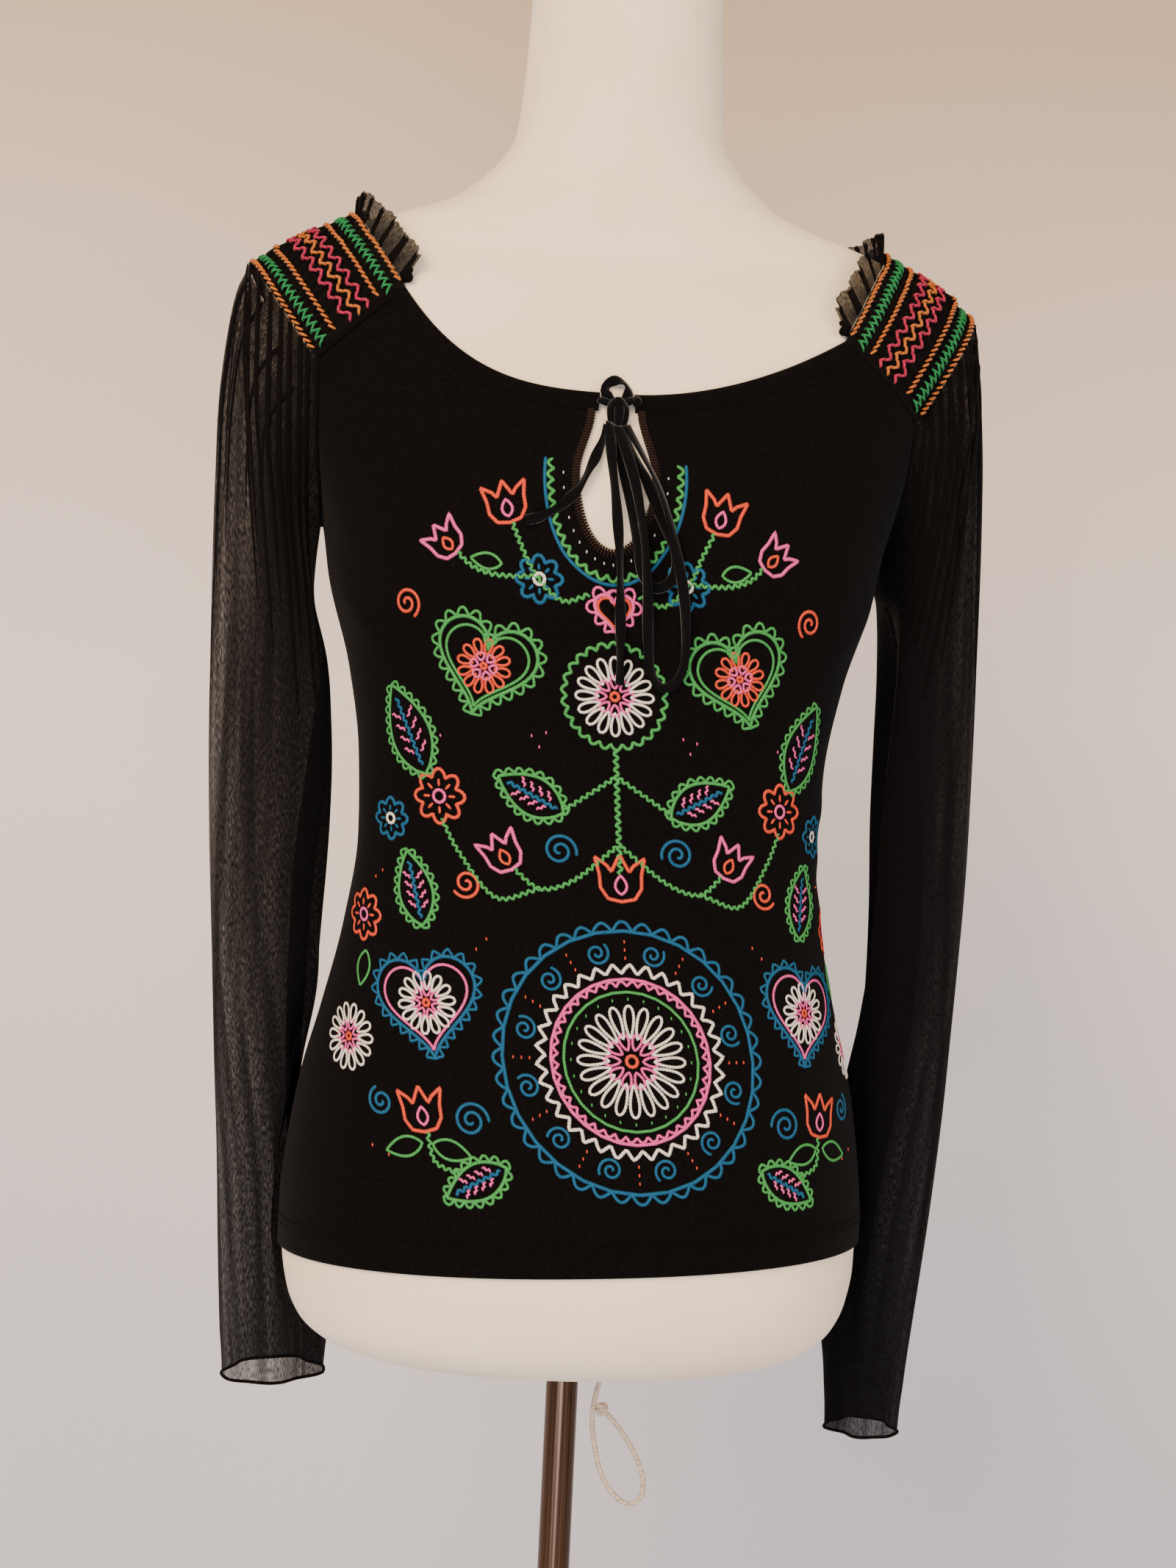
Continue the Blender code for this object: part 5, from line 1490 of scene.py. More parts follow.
def frilled(points: Array, period: float, depth: float, frill: Frill, closed: bool = False) -> Array:
    """Run a line's edge in bows, points or waves, on its left side.

    Args:
        points: The line.
        period: About how long a bow, point or wave is.
        depth: How far it stands off the line.
        frill: Which of them it is.
        closed: Whether the line's ends meet.

    Returns:
        The new line.
    """
    points = walk_line(points, period / 10, closed)
    count = max(round(len(points) / 10), 1)
    part = np.arange(len(points)) / len(points) * count
    rise = {
        Frill.SCALLOP: np.abs(np.sin(pi * part)),
        Frill.ZIGZAG: 1 - 2 * np.abs(part % 1 - 0.5),
        Frill.WAVE: np.sin(2 * pi * part) / 2,
    }[frill]
    return points + left_of(points, closed) * (depth * rise)[:, None]


@dataclass
class FrontPrint:
    """A garden of folk flowers in five colours, printed over the front in lines like stitches."""

    body: "JerseyBody"
    axis_x: tuple = (0.028, -0.007)
    axis_z: tuple = (0.82, 1.19)
    spacing: float = 0.0009
    rise: float = 0.00045
    edge_rise: float = 0.00014
    sink: float = 0.0004

    def daisy(self, radius: float, petals: int, outer: Ink, inner: Ink, middle: Ink) -> list[Stroke]:
        """A round flower of looped petals, with a smaller one in its middle."""
        strokes = []
        for share, ink, count in ((1.0, outer, petals), (0.5, inner, petals // 2)):
            for k in range(count):
                half = 0.62 * pi * radius * share / count
                loop = petal(radius * share * 0.42, radius * share, half, 360 * k / count)
                strokes.append(Stroke(ink, loop, True, 0.0017))
        strokes.append(Stroke(middle, ring(radius * 0.1), True, 0.0022))
        return strokes

    def rosette(self, radius: float, outer: Ink, middle: Ink, lobes: int = 8) -> list[Stroke]:
        """A small round flower with a lobed edge."""
        spokes = [
            Stroke(outer, np.array([[cos(a), sin(a)]]) * radius * np.array([[0.42], [0.72]]), width=0.0018)
            for a in np.arange(lobes) * 2 * pi / lobes
        ]
        rim = Stroke(outer, ring(radius, lobes, 0.34), True, 0.0023)
        return [rim, *spokes, Stroke(middle, ring(radius * 0.26), True)]

    def tulip(self, height: float, ink: Ink, middle: Ink) -> list[Stroke]:
        """A cup of three pointed petals, upright from its stalk, with a drop inside."""
        cup = np.array([
            (0, 0), (0.30, 0.06), (0.46, 0.30), (0.47, 0.60),
            (0.56, 0.98), (0.30, 0.80), (0.20, 0.66), (0, 1.05),
        ])
        line = np.concatenate([cup, cup[-2:0:-1] * (-1, 1)]) * height
        drop = leaf(height * 0.42, height * 0.13) + (0, height * 0.16)
        return [Stroke(ink, line, True, 0.0023), Stroke(middle, drop, True, 0.0018)]

    def frond(self, length: float, half: float, rib: Ink, sides: Ink) -> list[Stroke]:
        """A leaf with a scalloped edge, a wavy rib and short strokes either side of it."""
        edge, middle = leaf(length, half), np.array([(0, length * 0.1), (0, length * 0.86)])
        strokes = [
            Stroke(Ink.GREEN, edge, True),
            Stroke(Ink.GREEN, frilled(edge[::-1], 0.0056, 0.0034, Frill.SCALLOP, True), True, 0.0018),
            Stroke(rib, frilled(middle, 0.004, 0.0018, Frill.WAVE)),
        ]
        for part in np.arange(0.24, 0.75, 0.13):
            for side in (-1, 1):
                start = np.array((side * half * 0.18, length * part))
                end = start + (side * half * 0.38, length * 0.09)
                stitch = frilled(np.array([start, end]), 0.003, 0.0014, Frill.ZIGZAG)
                strokes.append(Stroke(sides, stitch, width=0.0016))
        return strokes

    def framed_heart(
        self, size: float, edge: Ink, frill: Frill, trim: Ink, inside: list[Stroke]
    ) -> list[Stroke]:
        """A heart with a frilled edge and a smaller heart within, round another motif."""
        outline = heart(size)
        return [
            Stroke(edge, outline, True, 0.0023),
            Stroke(edge, frilled(outline, 0.0068, 0.0046, frill, True), True, 0.0018),
            Stroke(trim, heart(size * 0.84), True, 0.0018),
            *inside,
        ]

    def dots(self, places: Array, ink: Ink, radius: float = 0.0013) -> list[Stroke]:
        """Small filled dots."""
        reach = np.array([(-radius * 0.3, 0), (radius * 0.3, 0)])
        return [Stroke(ink, place + reach, width=radius * 2) for place in np.asarray(places, float)]

    def medallion(self) -> list[Stroke]:
        """The big round flower at the bottom of the front."""
        strokes = [
            Stroke(Ink.BLUE, ring(0.071), True, 0.0024),
            Stroke(Ink.BLUE, frilled(ring(0.071)[::-1], 0.0112, 0.0052, Frill.SCALLOP, True), True),
            Stroke(Ink.WHITE, frilled(ring(0.0475)[::-1], 0.0088, 0.0056, Frill.ZIGZAG, True), True),
            Stroke(Ink.PINK, ring(0.0445), True),
            Stroke(Ink.PINK, frilled(ring(0.0405)[::-1], 0.0060, 0.0030, Frill.SCALLOP, True), True, 0.0018),
            Stroke(Ink.GREEN, ring(0.0375), True, 0.0018),
        ]
        for k in range(12):
            angle = radians(30 * k + 15)
            spot = np.array((cos(angle), sin(angle))) * 0.0600
            strokes.append(Stroke(Ink.BLUE, coil(0.0068, 1.9), width=0.0019).moved(spot, -30 * k))
            beside = radians(30 * k)
            way = np.array((cos(beside), sin(beside)))
            strokes += self.dots([way * reach for reach in (0.0560, 0.0605, 0.0650)], Ink.ORANGE)
        swing = np.radians(np.arange(0, 360, 15))
        strokes += self.dots(np.stack([np.cos(swing), np.sin(swing)], axis=-1) * 0.0336, Ink.GREEN)
        return strokes + self.daisy(0.0300, 20, Ink.WHITE, Ink.PINK, Ink.ORANGE)

    def centre(self) -> list[Stroke]:
        """Everything on the middle line: the keyhole's garland, the stem and the medallion."""
        strokes = []
        swing = np.radians(np.linspace(-98, 98, 90))
        for away, ink, frill in ((0.0125, Ink.GREEN, Frill.SCALLOP), (0.0175, Ink.BLUE, None)):
            arc = np.stack([(0.021 + away) * np.sin(swing), 1.233 - (0.041 + away) * np.cos(swing)], axis=-1)
            if frill:
                arc = frilled(arc[::-1], 0.0062, 0.0034, frill)
            strokes.append(Stroke(ink, arc))
        beads = np.radians(np.linspace(-90, 90, 19))
        arc = np.stack([0.0285 * np.sin(beads), 1.233 - 0.0480 * np.cos(beads)], axis=-1)
        strokes += self.dots(arc, Ink.WHITE, 0.0011)
        parts = [
            (self.framed_heart(0.021, Ink.PINK, Frill.SCALLOP, Ink.ORANGE, []), (0, 1.1600), 0),
            (self.daisy(0.0215, 16, Ink.WHITE, Ink.PINK, Ink.ORANGE), (0, 1.1155), 0),
            ([Stroke(Ink.GREEN, frilled(ring(0.0262)[::-1], 0.0062, 0.0032, Frill.SCALLOP, True), True)],
             (0, 1.1155), 0),
            ([Stroke(Ink.GREEN, frilled(np.array([(0, 0), (0, 0.070)]), 0.0045, 0.0024, Frill.WAVE))],
             (0, 1.0170), 0),
            (self.tulip(0.0250, Ink.ORANGE, Ink.PINK), (0, 1.0020), 0),
            (self.medallion(), (0, 0.9150), 0),
        ]
        for motif, place, turned in parts:
            strokes += [stroke.moved(place, turned) for stroke in motif]
        return strokes

    def half(self) -> list[Stroke]:
        """The motifs of the wearer's left half, which the other half mirrors."""
        rose = self.rosette
        heart_rose = [s.moved((0, 0.002)) for s in self.daisy(0.0150, 12, Ink.ORANGE, Ink.PINK, Ink.ORANGE)]
        small_daisy = [s.moved((0, 0.003)) for s in self.daisy(0.0170, 14, Ink.WHITE, Ink.PINK, Ink.ORANGE)]
        parts = [
            (self.tulip(0.0215, Ink.ORANGE, Ink.PINK), (0.0560, 1.2050), 14),
            (self.tulip(0.0190, Ink.PINK, Ink.ORANGE), (0.0850, 1.1880), 42),
            (rose(0.0110, Ink.BLUE, Ink.WHITE), (0.0400, 1.1760), 0),
            ([Stroke(Ink.GREEN, leaf(0.017, 0.0042), True, 0.0018)], (0.0600, 1.1830), 80),
            (self.framed_heart(0.0560, Ink.GREEN, Frill.SCALLOP, Ink.GREEN, heart_rose),
             (0.0720, 1.1270), -16),
            ([Stroke(Ink.ORANGE, coil(0.0085, 2.0))], (0.1160, 1.1620), 120),
            (self.frond(0.0540, 0.0135, Ink.BLUE, Ink.PINK), (0.1080, 1.0680), 24),
            (rose(0.0135, Ink.ORANGE, Ink.PINK), (0.1000, 1.0560), 0),
            (self.frond(0.0400, 0.0110, Ink.BLUE, Ink.PINK), (0.0300, 1.0500), 62),
            ([Stroke(Ink.BLUE, coil(0.0095, 2.1))], (0.0330, 1.0290), 200),
            (self.tulip(0.0210, Ink.PINK, Ink.ORANGE), (0.0600, 1.0170), 28),
            (rose(0.0105, Ink.BLUE, Ink.WHITE), (0.1330, 1.0420), 0),
            ([Stroke(Ink.ORANGE, coil(0.0085, 2.0))], (0.0860, 1.0080), 30),
            (self.frond(0.0420, 0.0110, Ink.BLUE, Ink.PINK), (0.1130, 0.9830), 12),
            (self.framed_heart(0.0600, Ink.BLUE, Frill.ZIGZAG, Ink.PINK, small_daisy), (0.1120, 0.9380), 8),
            (rose(0.0125, Ink.ORANGE, Ink.PINK), (0.1560, 0.9860), 0),
            ([Stroke(Ink.GREEN, leaf(0.020, 0.0050), True, 0.0018)], (0.1530, 0.9660), 168),
            (self.daisy(0.0180, 14, Ink.WHITE, Ink.PINK, Ink.ORANGE), (0.1650, 0.9180), 0),
            ([Stroke(Ink.BLUE, coil(0.0100, 2.2))], (0.0900, 0.8800), 250),
            ([Stroke(Ink.BLUE, coil(0.0080, 2.0))], (0.1420, 0.8860), 290),
            (self.tulip(0.0230, Ink.ORANGE, Ink.PINK), (0.1160, 0.8720), 8),
            ([Stroke(Ink.GREEN, leaf(0.022, 0.0052), True, 0.0018)], (0.1180, 0.8660), 105),
            ([Stroke(Ink.GREEN, leaf(0.022, 0.0052), True, 0.0018)], (0.1120, 0.8660), -105),
            (self.frond(0.0380, 0.0095, Ink.BLUE, Ink.PINK), (0.0720, 0.8560), 118),
        ]
        strokes = [stroke.moved(place, turned) for motif, place, turned in parts for stroke in motif]
        vines = (
            [(0.0130, 1.1680), (0.0280, 1.1640), (0.0420, 1.1760), (0.0500, 1.1920), (0.0560, 1.2050)],
            [(0.0420, 1.1760), (0.0620, 1.1760), (0.0760, 1.1800), (0.0850, 1.1880)],
            [(0.0000, 1.0700), (0.0150, 1.0600), (0.0300, 1.0500)],
            [(0.0000, 1.0320), (0.0250, 1.0120), (0.0450, 1.0060), (0.0600, 1.0170)],
            [(0.0450, 1.0060), (0.0700, 1.0000), (0.0900, 1.0240), (0.1000, 1.0430)],
            [(0.0980, 0.8500), (0.1120, 0.8560), (0.1160, 0.8720)],
        )
        for vine in vines:
            line = frilled(smooth_route(vine, 0.002), 0.0040, 0.0024, Frill.ZIGZAG)
            strokes.append(Stroke(Ink.GREEN, line, width=0.0018))
        spots = [(0.0980, 1.0900), (0.0420, 1.0860), (0.0460, 1.0920), (0.0380, 1.0940), (0.0820, 0.9720),
                 (0.0760, 0.9780), (0.1400, 1.0120), (0.1460, 1.0080), (0.1380, 0.8580), (0.1480, 0.8620)]
        strokes += self.dots(spots[:4], Ink.PINK) + self.dots(spots[4:], Ink.ORANGE)
        return strokes

    def turns(self, places: Array) -> Array:
        """The turn at each place: metres round the front from the print's middle line, and a height."""
        levels = np.linspace(0.80, 1.26, 93)
        turns = np.linspace(-2.0, 2.0, 241)
        points = SKIN.on_skin(turns, levels[:, None])
        steps = np.linalg.norm(np.diff(points, axis=1), axis=-1)
        walked = np.concatenate([np.zeros((len(levels), 1)), np.cumsum(steps, axis=1)], axis=1)
        axis = SKIN.turn_at(np.interp(levels, self.axis_z, self.axis_x), levels)
        found = []
        for row, middle in zip(walked, axis):
            found.append(np.interp(places[:, 0], row - np.interp(middle, turns, row), turns))
        found = np.array(found)
        i = np.clip(np.searchsorted(levels, places[:, 1]) - 1, 0, len(levels) - 2)
        part = (places[:, 1] - levels[i]) / (levels[1] - levels[0])
        spot = np.arange(len(places))
        return blend(found[i, spot], found[i + 1, spot], part)

    def lines(self, strokes: list[Stroke]) -> tuple[Array, list]:
        """Points and faces of the raised lines of one colour, each a closed body laid on the cloth."""
        places, lifts, faces, count = [], [], [], 0
        for stroke in strokes:
            line = walk_line(stroke.points, self.spacing, stroke.closed)
            left = left_of(line, stroke.closed)
            half = stroke.width / 2 * np.where(np.arange(len(line)) % 2, 0.82, 1.0)[:, None]
            if not stroke.closed:
                half[[0, -1]] *= 0.6
            around = np.stack([line + left * half, line, line - left * half, line], axis=1)
            places.append(around.reshape(-1, 2))
            lifts.append(np.tile([self.edge_rise, self.rise, self.edge_rise, -self.sink], len(line)))
            faces += [[corner + count for corner in face] for face in tube_faces(len(line), 4, stroke.closed)]
            count += len(line) * 4
        places = np.concatenate(places)
        return self.body.face(self.turns(places), places[:, 1], np.concatenate(lifts)), faces

    def build(self) -> None:
        """Build the print, one piece a colour."""
        half = self.half()
        strokes = self.centre() + half + [stroke.moved((0, 0), 0, True) for stroke in half]
        for ink in Ink:
            name = f"print_ink_{ink.name.lower()}"
            piece = mesh_piece(name, *self.lines([stroke for stroke in strokes if stroke.ink is ink]))
            settle(piece, PrintInk(name, *ink.value).make(), "black_jersey")


@dataclass
class Shoulder:
    """A smocked chiffon shoulder with its embroidery and the ruffle at the neck."""

    side: Side
    width: float = 0.072
    pleats: int = 30
    base: float = 0.0009
    pleat_rise: float = 0.0022
    ruffle_height: float = 0.0170
    ruffle_waves: int = 15
    ruffle_length: float = 0.25
    ridge_dip: float = 0.32
    lean_ends: float = radians(32)
    lean_ridge: float = radians(50)

    def surface(self, part: Array, over: Array, above: float = 0.0) -> Array:
        """Points on the tops of the pleats, or above them, on the shoulder's own side."""
        point, _, outwards = TOP.smocking_frame(self.side.value, part, over)
        lifted = point + outwards * (self.base + self.pleat_rise + above)
        return lifted * (self.side.value, 1, 1)

    def smocking(self, finish: bpy.types.Material) -> None:
        """Build the gathered cloth of the shoulder."""
        over = np.linspace(-pi / 2, pi / 2, self.pleats * 10 + 1)
        part = np.linspace(0, 1, 45)[:, None]
        inner, _, outwards = TOP.smocking_frame(self.side.value, part, over)
        phase = over / pi * self.pleats * 2 * pi + 0.5 * np.sin(part * 19)
        height = self.base + self.pleat_rise * (0.5 - 0.5 * np.cos(phase)) ** 0.7
        grid = (inner + outwards * height[..., None]) * (self.side.value, 1, 1)
        if self.side is Side.LEFT:
            grid = grid[::-1]
        u, v = np.meshgrid(np.linspace(0, 0.5, grid.shape[1]), np.linspace(0, 0.08, grid.shape[0]))
        piece = grid_piece(f"smocking_{self.side.word}_pleats", grid, np.stack([u, v], axis=-1))
        settle(piece, finish, "black_chiffon", f"smocking_{self.side.word}")

    def ruffle(self, finish: bpy.types.Material, doubled: bpy.types.Material) -> None:
        """Build the free pleated edge, pinked along its top, with the darker folds where it lies double."""
        columns = self.ruffle_waves * 24 + 1
        over = np.linspace(-pi / 2, pi / 2, columns) * 0.97
        foot, towards_sleeve, outwards = TOP.smocking_frame(self.side.value, 0.0, over)
        foot = foot + outwards * self.base - towards_sleeve * 0.0006
        lean = blend(self.lean_ends, self.lean_ridge, np.cos(over) ** 2)[:, None]
        rise = np.sin(lean) * outwards - np.cos(lean) * towards_sleeve
        face = np.cos(lean) * outwards + np.sin(lean) * towards_sleeve
        phase = np.linspace(0, self.ruffle_waves * 2 * pi, columns)
        swing = np.tanh(1.6 * np.sin(phase + 0.7 * np.sin(phase / 3.1)))[:, None]
        along = unit(np.gradient(foot, axis=0))
        rows = []
        for part in np.linspace(0, 1, 14):
            tooth = 0.0011 * (2 * np.abs((np.arange(columns) / 5) % 1 - 0.5) - 0.5)[:, None] * (part > 0.99)
            height = self.ruffle_height * part * (1 + 0.06 * np.sin(phase / 2.3))[:, None] + tooth
            height = height * (1 - self.ridge_dip * np.cos(over) ** 4)[:, None]
            sway = 0.0026 * part**0.8
            sidewise = along * np.cos(phase)[:, None] * sway * 0.5
            rows.append(foot + rise * height + face * swing * sway + sidewise)
        double = np.array(rows) + face * 0.0005
        double[:, np.sin(phase + 0.7 * np.sin(phase / 3.1)) < 0.1] = np.nan
        double[-1] = np.nan
        for word, material, grid in (("chiffon", finish, np.array(rows)), ("folds", doubled, double)):
            grid = grid * (self.side.value, 1, 1)
            if self.side is Side.RIGHT:
                grid = grid[::-1]
            u, v = np.meshgrid(np.linspace(0, 0.5, columns), np.linspace(0, 0.021, 14))
            piece = grid_piece(f"neck_ruffle_{self.side.word}_{word}", grid, np.stack([u, v], axis=-1))
            nodes = [f"neck_ruffle_{self.side.word}"] if material is finish else []
            settle(piece, material, "black_chiffon", *nodes)
        swing = np.linspace(0, 1, 24)[:, None]
        curl = 0.0022 * np.concatenate([np.cos(swing * 9), np.sin(swing * 9)], axis=1) * swing
        tuft = foot[0] + rise[0] * 0.0075 * swing + face[0] * curl[:, :1] + along[0] * curl[:, 1:]
        radius = 0.0013 + 0.0012 * np.sin(swing[:, 0] * pi)
        corner = mesh_piece(
            f"neck_ruffle_{self.side.word}_corner",
            *tube_points(tuft * (self.side.value, 1, 1), radius, 10),
        )
        settle(corner, doubled, "black_chiffon")

    def stitched(self, parts: Array, distances: Array, thickness: float) -> tuple[Array, list]:
        """Points and faces of yarn stitches laid on the pleats.

        Args:
            parts: Where each stitch starts and ends from the neck, 0, to the sleeve, 1.
            distances: Where it starts and ends along its row, in metres from the front seam.
            thickness: The yarn's thickness.

        Returns:
            Points and faces.
        """
        over = np.linspace(-pi / 2, pi / 2, 300)
        row, _, _ = TOP.smocking_frame(self.side.value, float(parts.mean()), over)
        walked = walked_along(row)
        inside = (distances.min(axis=1) > 0.0015) & (distances.max(axis=1) < walked[-1] - 0.0015)
        along = np.array([0.0, 0.16, 0.5, 0.84, 1.0])
        part = blend(parts[inside, :1], parts[inside, 1:], along)
        place = np.interp(blend(distances[inside, :1], distances[inside, 1:], along), walked, over)
        point, _, outwards = TOP.smocking_frame(self.side.value, part, place)
        above = self.base + self.pleat_rise + np.array([-0.0009, 0.0003, 0.0006, 0.0003, -0.0009])
        radius = thickness / 2 * np.array([0.4, 0.95, 1.05, 0.95, 0.4])
        return stitch_bodies(point + outwards * above[:, None], outwards, radius)

    def rope_row(self, part: float) -> tuple[Array, list]:
        """A row of tilted stitches that lie on each other like the strands of a rope."""
        starts = np.arange(0, 0.26, 0.0043)
        tilt = 0.0012 / self.width
        parts = np.tile([[part - tilt, part + tilt]], (len(starts), 1))
        return self.stitched(parts, np.stack([starts, starts + 0.0050], axis=-1), 0.0016)

    def herringbone_row(self, part: float) -> tuple[Array, list]:
        """A row of close crossing diagonals."""
        pitch = 0.0050
        starts = np.arange(0, 0.26, pitch)
        reach = 0.0035 / self.width
        rising = np.tile([[part - reach, part + reach]], (len(starts), 1))
        parts = np.concatenate([rising, rising[:, ::-1]])
        begins = np.concatenate([starts, starts + pitch / 2])
        return self.stitched(parts, np.stack([begins, begins + pitch * 0.75], axis=-1), 0.0013)

    def zigzag_row(self, part: float) -> tuple[Array, list]:
        """A row of back stitches that step up and down at 45 degrees."""
        period = 0.0116
        steps = np.arange(0, 0.26, period / 4)
        wave = np.abs((steps / period) % 1 * 2 - 1) * 2 - 1
        height = part + wave * 0.0032 / self.width
        overlap = 0.0005
        parts = np.stack([height[:-1], height[1:]], axis=-1)
        return self.stitched(parts, np.stack([steps[:-1] - overlap, steps[1:] + overlap], axis=-1), 0.0017)

    def embroidery(self, yarns: dict) -> None:
        """Build the rows of yarn over the pleats, from the neck to the sleeve."""
        rows = (
            (0.030, self.rope_row, "orange"), (0.148, self.herringbone_row, "green"),
            (0.277, self.rope_row, "orange"), (0.405, self.zigzag_row, "crimson"),
            (0.500, self.zigzag_row, "orange"),
            (0.595, self.zigzag_row, "crimson"), (0.749, self.rope_row, "orange"),
            (0.872, self.herringbone_row, "green"), (0.970, self.rope_row, "orange"),
        )
        for color, finish in yarns.items():
            body = joined([make(part) for part, make, name in rows if name == color])
            piece = mesh_piece(f"embroidery_{self.side.word}_{color}", *for_side(self.side, *body))
            settle(piece, finish, "black_chiffon")

    def build(self, gathered: bpy.types.Material, sheer: bpy.types.Material, yarns: dict) -> None:
        """Build the shoulder."""
        self.smocking(gathered)
        self.ruffle(sheer, gathered)
        self.embroidery(yarns)


@dataclass
class SheerSleeve:
    """A chiffon sleeve, gathered into the shoulder and hanging past the hip, with a rolled edge.

    Its rings are given for the wearer's left: outer point, inner point, depth from front to back,
    and how deep the long fold on its inner side goes.
    """

    side: Side
    columns: int = 168
    clearance: float = 0.0085
    roll: float = 0.0010
    pleat_half: float = 0.0019
    lean: float = 0.10
    cut: tuple = (0.26, 0.66)
    pleats: tuple = (
        (84, 0.150), (75, 0.180), (65, 0.140), (54, 0.190), (43, 0.130), (31, 0.170), (18, 0.120), (5, 0.150),
        (-12, 0.110), (-32, 0.140), (-54, 0.110), (-76, 0.080),
    )

    def rings(self) -> Array:
        """The sleeve's rings as rows of eight numbers."""
        if self.side is Side.RIGHT:
            rows = (
                (0.2215, 0.000, 1.336, 0.1680, 0.000, 1.190, 0.118, 0.000),
                (0.2270, 0.002, 1.290, 0.1640, 0.004, 1.160, 0.106, 0.010),
                (0.2280, 0.004, 1.235, 0.1510, 0.010, 1.120, 0.092, 0.020),
                (0.2275, 0.006, 1.170, 0.1460, 0.016, 1.082, 0.078, 0.028),
                (0.2265, 0.008, 1.100, 0.1450, 0.022, 1.040, 0.069, 0.031),
                (0.2240, 0.010, 1.030, 0.1475, 0.028, 0.993, 0.063, 0.031),
                (0.2195, 0.012, 0.960, 0.1480, 0.038, 0.938, 0.060, 0.029),
                (0.2135, 0.014, 0.895, 0.1490, 0.054, 0.883, 0.058, 0.026),
                (0.2065, 0.014, 0.835, 0.1500, 0.068, 0.828, 0.055, 0.022),
                (0.2015, 0.012, 0.780, 0.1500, 0.070, 0.775, 0.052, 0.018),
                (0.1975, 0.010, 0.737, 0.1490, 0.066, 0.735, 0.050, 0.012),
                (0.1945, 0.008, 0.706, 0.1475, 0.062, 0.705, 0.049, 0.006),
            )
        else:
            rows = (
                (0.2180, 0.000, 1.334, 0.1680, 0.000, 1.190, 0.118, 0.000),
                (0.2235, 0.000, 1.286, 0.1700, 0.002, 1.162, 0.104, 0.016),
                (0.2275, 0.002, 1.230, 0.1705, 0.006, 1.125, 0.090, 0.030),
                (0.2305, 0.004, 1.165, 0.1692, 0.010, 1.085, 0.076, 0.040),
                (0.2330, 0.006, 1.095, 0.1680, 0.014, 1.040, 0.068, 0.046),
                (0.2335, 0.008, 1.025, 0.1690, 0.020, 0.990, 0.064, 0.046),
                (0.2315, 0.012, 0.955, 0.1695, 0.034, 0.935, 0.061, 0.044),
                (0.2272, 0.014, 0.885, 0.1675, 0.054, 0.875, 0.058, 0.042),
                (0.2200, 0.014, 0.820, 0.1665, 0.066, 0.815, 0.053, 0.038),
                (0.2120, 0.012, 0.765, 0.1710, 0.066, 0.760, 0.047, 0.030),
                (0.2045, 0.010, 0.715, 0.1770, 0.058, 0.713, 0.041, 0.016),
                (0.2005, 0.008, 0.679, 0.1775, 0.052, 0.678, 0.037, 0.006),
            )
        return np.array(rows)

    def angles(self) -> Array:
        """Angles round the sleeve: 90 degrees at the front, 0 outside and -180 inside."""
        head = self.columns * 2 // 3
        return np.concatenate([
            np.linspace(pi / 2, -pi / 2, head, endpoint=False),
            np.linspace(-pi / 2, -3 * pi / 2, self.columns - head, endpoint=False),
        ])

    def root(self, angle: Array) -> Array:
        """The first ring, along the smocking's edge and round the armhole."""
        side = self.side.value
        on_head = angle > -pi / 2 - 1e-9
        point, towards_sleeve, outwards = TOP.smocking_frame(side, 1.0, -angle[on_head])
        top = point + outwards * 0.0024 + towards_sleeve * 0.0004
        ring = list(top)
        for value in angle[~on_head]:
            behind = bool(value > -pi)
            share = 1 - abs(value + pi) / (pi / 2)
            turn, z = TOP.armhole(side, share, behind)
            ring.append(SKIN.off_skin(np.float64(turn * side), np.float64(z + 0.0004), 0.0030))
        return np.array(ring)

    def ring(self, row: Array, angle: Array) -> Array:
        """One ring of the sleeve, from its row of numbers."""
        outer, inner, depth, groove = row[:3], row[3:6], row[6], row[7]
        middle, half = (outer + inner) / 2, (outer - inner) / 2
        along = unit(half)
        forward = np.array([0.0, -1.0, 0.0])
        forward = unit(forward - along * forward.dot(along))
        swing = angle[:, None]
        points = middle + half * np.cos(swing) + forward * np.sin(swing) * depth / 2
        off_inside = np.abs((swing + 2 * pi) % (2 * pi) - pi)
        width = radians(42)
        fold = np.where(off_inside < width, np.cos(off_inside / width * pi / 2), 0)
        points = points + along * groove * fold**1.5
        away = points * (1, 1, 0)
        radius = np.linalg.norm(away, axis=-1, keepdims=True)
        gap = radius * (1 - 1 / SKIN.skin_value(points))[:, None]
        return points + away / radius * np.maximum(self.clearance - gap, 0)

    def columns_at(self, dense: Array, rows: Array, column: int) -> Array:
        """Where a pleat that starts in a column crosses each ring, as it falls straight and leans inwards."""
        front = np.arange(-self.columns // 6, self.columns // 3 + 1)
        start = dense[0, column]
        found = []
        for ring in dense[rows]:
            across = np.maximum.accumulate(ring[front % self.columns, 0] + front * 1e-7)
            fallen = start[2] - ring[column, 2]
            found.append(np.interp(start[0] - self.lean * fallen, across, front))
        found[0] = float(column)
        return np.array(found)

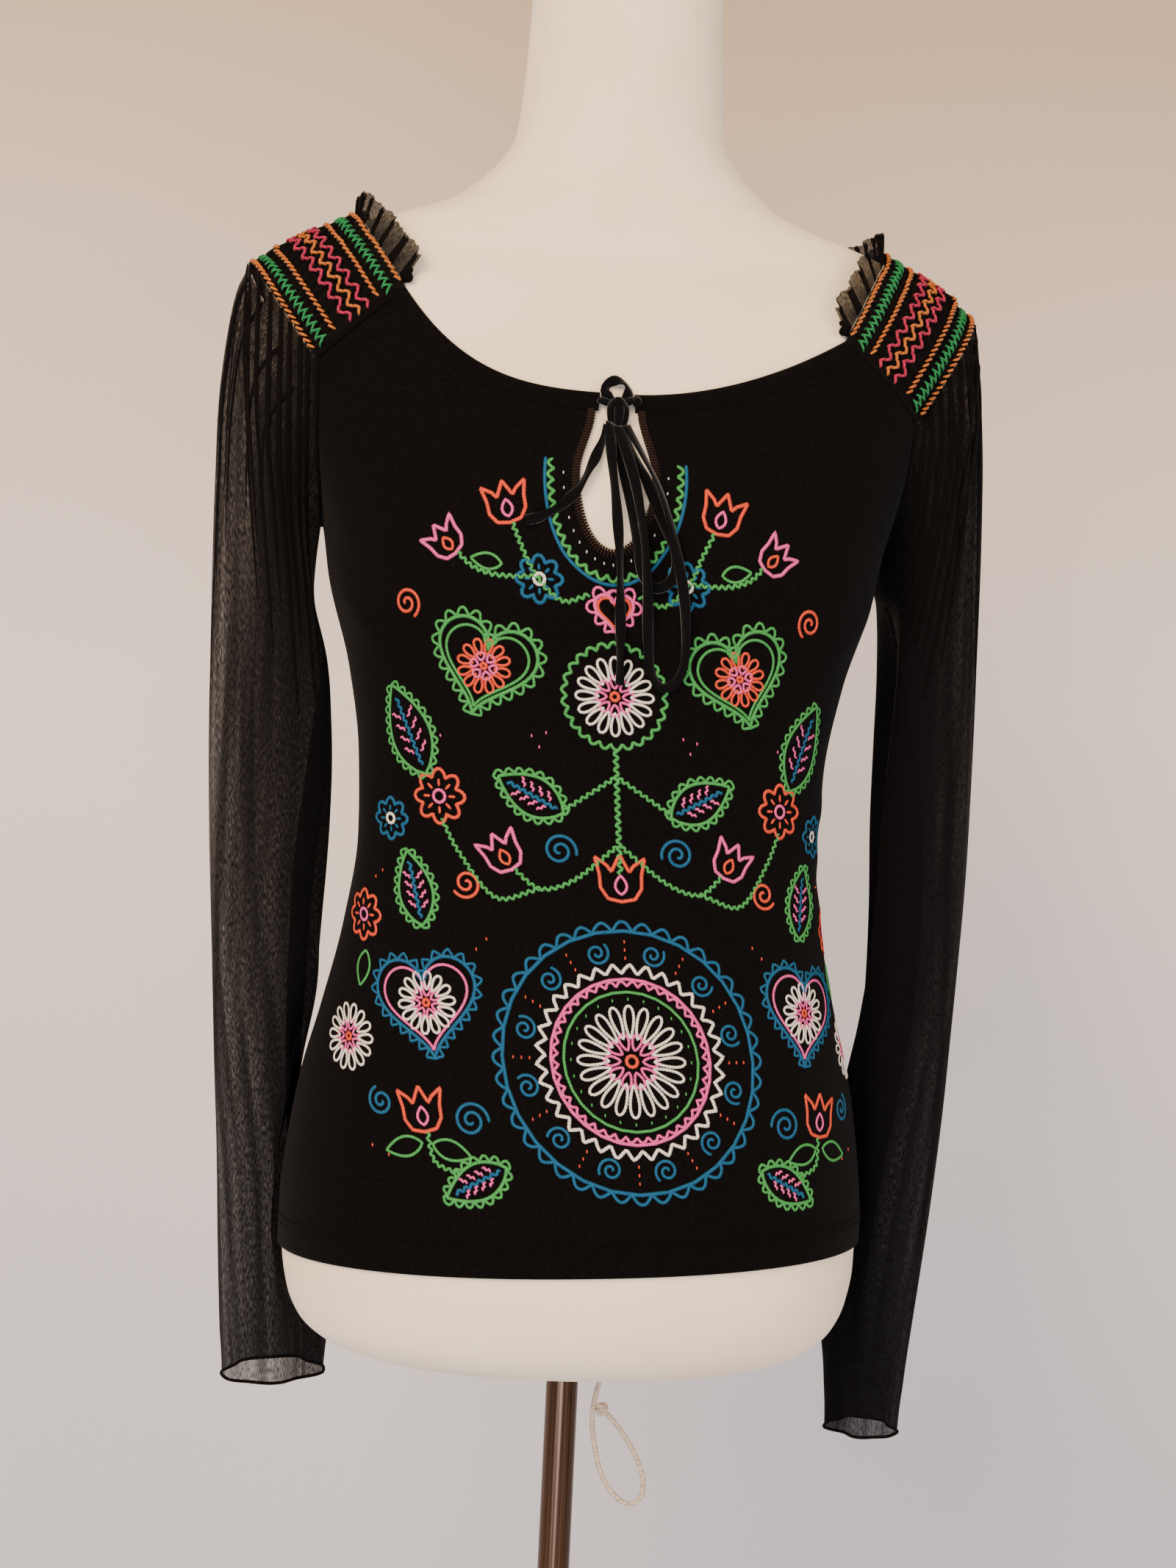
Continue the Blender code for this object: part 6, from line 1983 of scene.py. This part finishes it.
    def trim(
        self, dense: Array, normal: Array, angle: Array, stops: Array, finish: bpy.types.Material
    ) -> None:
        """Build the knife pleats that fan down from the shoulder, and the rolled edge of the cuff.

        Args:
            dense: The sleeve's points, ring by ring, for the wearer's left.
            normal: Directions off the sleeve at those points.
            angle: The angle round the sleeve of each column.
            stops: How far each ring is from the shoulder.
            finish: The material of cloth that lies double.
        """
        edge = dense[-1] + normal[-1] * 0.0002
        parts = [tube_points(edge, self.roll, 8, normal[-1], closed=True)]
        for aim, length in self.pleats:
            column = int(np.argmin(np.abs(angle - radians(aim))))
            rows = np.flatnonzero(stops < length)
            swing = rows / rows[-1]
            columns = np.full(len(rows), float(column))
            if aim > 0:
                columns = self.columns_at(dense, rows, column)
            before = np.floor(columns).astype(int)
            share = (columns - before)[:, None]
            before, after = before % len(angle), (before + 1) % len(angle)
            away = normal[rows, before]
            line = blend(dense[rows, before], dense[rows, after], share) + away * 0.0006
            radius = self.pleat_half * np.sqrt(np.clip(1 - swing, 0.02, 1))
            radius = radius * (0.75 + 0.25 * ease(0, 0.2, swing))
            parts.append(tube_points(line, radius, 8, away, flat=0.3))
        body = for_side(self.side, *joined(parts))
        piece = mesh_piece(f"sleeve_{self.side.word}_pleats_and_roll", *body)
        settle(piece, finish, "black_chiffon")

    def build(self, finish: bpy.types.Material, doubled: bpy.types.Material) -> None:
        """Build the sleeve, its pleats and the rolled edge at its cuff."""
        angle = self.angles()
        rings = self.rings()
        rows = np.array([self.root(angle), *(self.ring(row, angle) for row in rings)])
        walked = walked_along(rows.mean(axis=1))
        stops = np.linspace(0, walked[-1], 150)
        slopes = np.gradient(rows, walked, axis=0)
        i = np.clip(np.searchsorted(walked, stops) - 1, 0, len(rows) - 2)
        step = (walked[i + 1] - walked[i])[:, None, None]
        t = ((stops - walked[i])[:, None, None]) / step
        dense = ((1 + 2 * t) * (1 - t) ** 2 * rows[i] + t * (1 - t) ** 2 * step * slopes[i]
                 + t**2 * (3 - 2 * t) * rows[i + 1] + t**2 * (t - 1) * step * slopes[i + 1])
        around = np.roll(dense, -1, axis=1) - np.roll(dense, 1, axis=1)
        normal = unit(np.cross(np.gradient(dense, axis=0), around))
        head = ease(0.0, 0.02, stops) * (1 - ease(0.04, 0.32, stops))
        on_head = np.clip(np.cos(angle), 0, 1) ** 0.5
        gathers = np.sin(angle * 22) * 0.0016
        drape = 0.0016 * np.sin(angle * 5 + stops[:, None] * 16) * ease(0.1, 0.4, stops)[:, None]
        cuff = 0.0012 * np.sin(angle * 7 + 1) * ease(walked[-1] - 0.03, walked[-1], stops)[:, None]
        dense = dense + normal * (head[:, None] * on_head * gathers + drape + cuff)[..., None]
        self.trim(dense, normal, angle, stops, doubled)
        grid = dense * (self.side.value, 1, 1)
        if self.side is Side.LEFT:
            grid, stops = grid[::-1], stops[::-1]
        u, v = np.meshgrid(np.linspace(0, SLEEVE_UV_WIDTH, len(angle) + 1), stops)
        piece = grid_piece(f"sleeve_{self.side.word}_chiffon", grid, np.stack([u, v], axis=-1), wrap=True)
        settle(piece, finish, "black_chiffon", f"sleeve_{self.side.word}")


def main() -> None:
    """Build every piece in order."""
    logging.basicConfig(level=logging.INFO, format="%(name)s %(message)s")
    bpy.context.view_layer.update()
    bpy.ops.object.select_all(action="DESELECT")
    studio = Studio()
    studio.place_camera()
    VelvetTie().build()
    DressForm().build()
    JerseyBody().build()
    ruffled = Chiffon().make()
    gathered = Chiffon("gathered_chiffon", color="0A0808", thin=0.94, dense=1.0).make()
    sheer = {
        Side.RIGHT: Chiffon("right_sleeve_chiffon", thin=0.60, dense=0.92, folded=0.75).make(),
        Side.LEFT: Chiffon("left_sleeve_chiffon", thin=0.76, dense=0.98, folded=0.85).make(),
    }
    yarns = {
        "orange": Yarn("orange_yarn", "C0681B", "80420E").make(),
        "green": Yarn("green_yarn", "108044", "075428").make(),
        "crimson": Yarn("crimson_yarn", "AE1644", "6E0D2E").make(),
    }
    for side in Side:
        Shoulder(side).build(gathered, ruffled, yarns)
        SheerSleeve(side).build(sheer[side], gathered)
    studio.build()


if __name__ == "__main__":
    main()
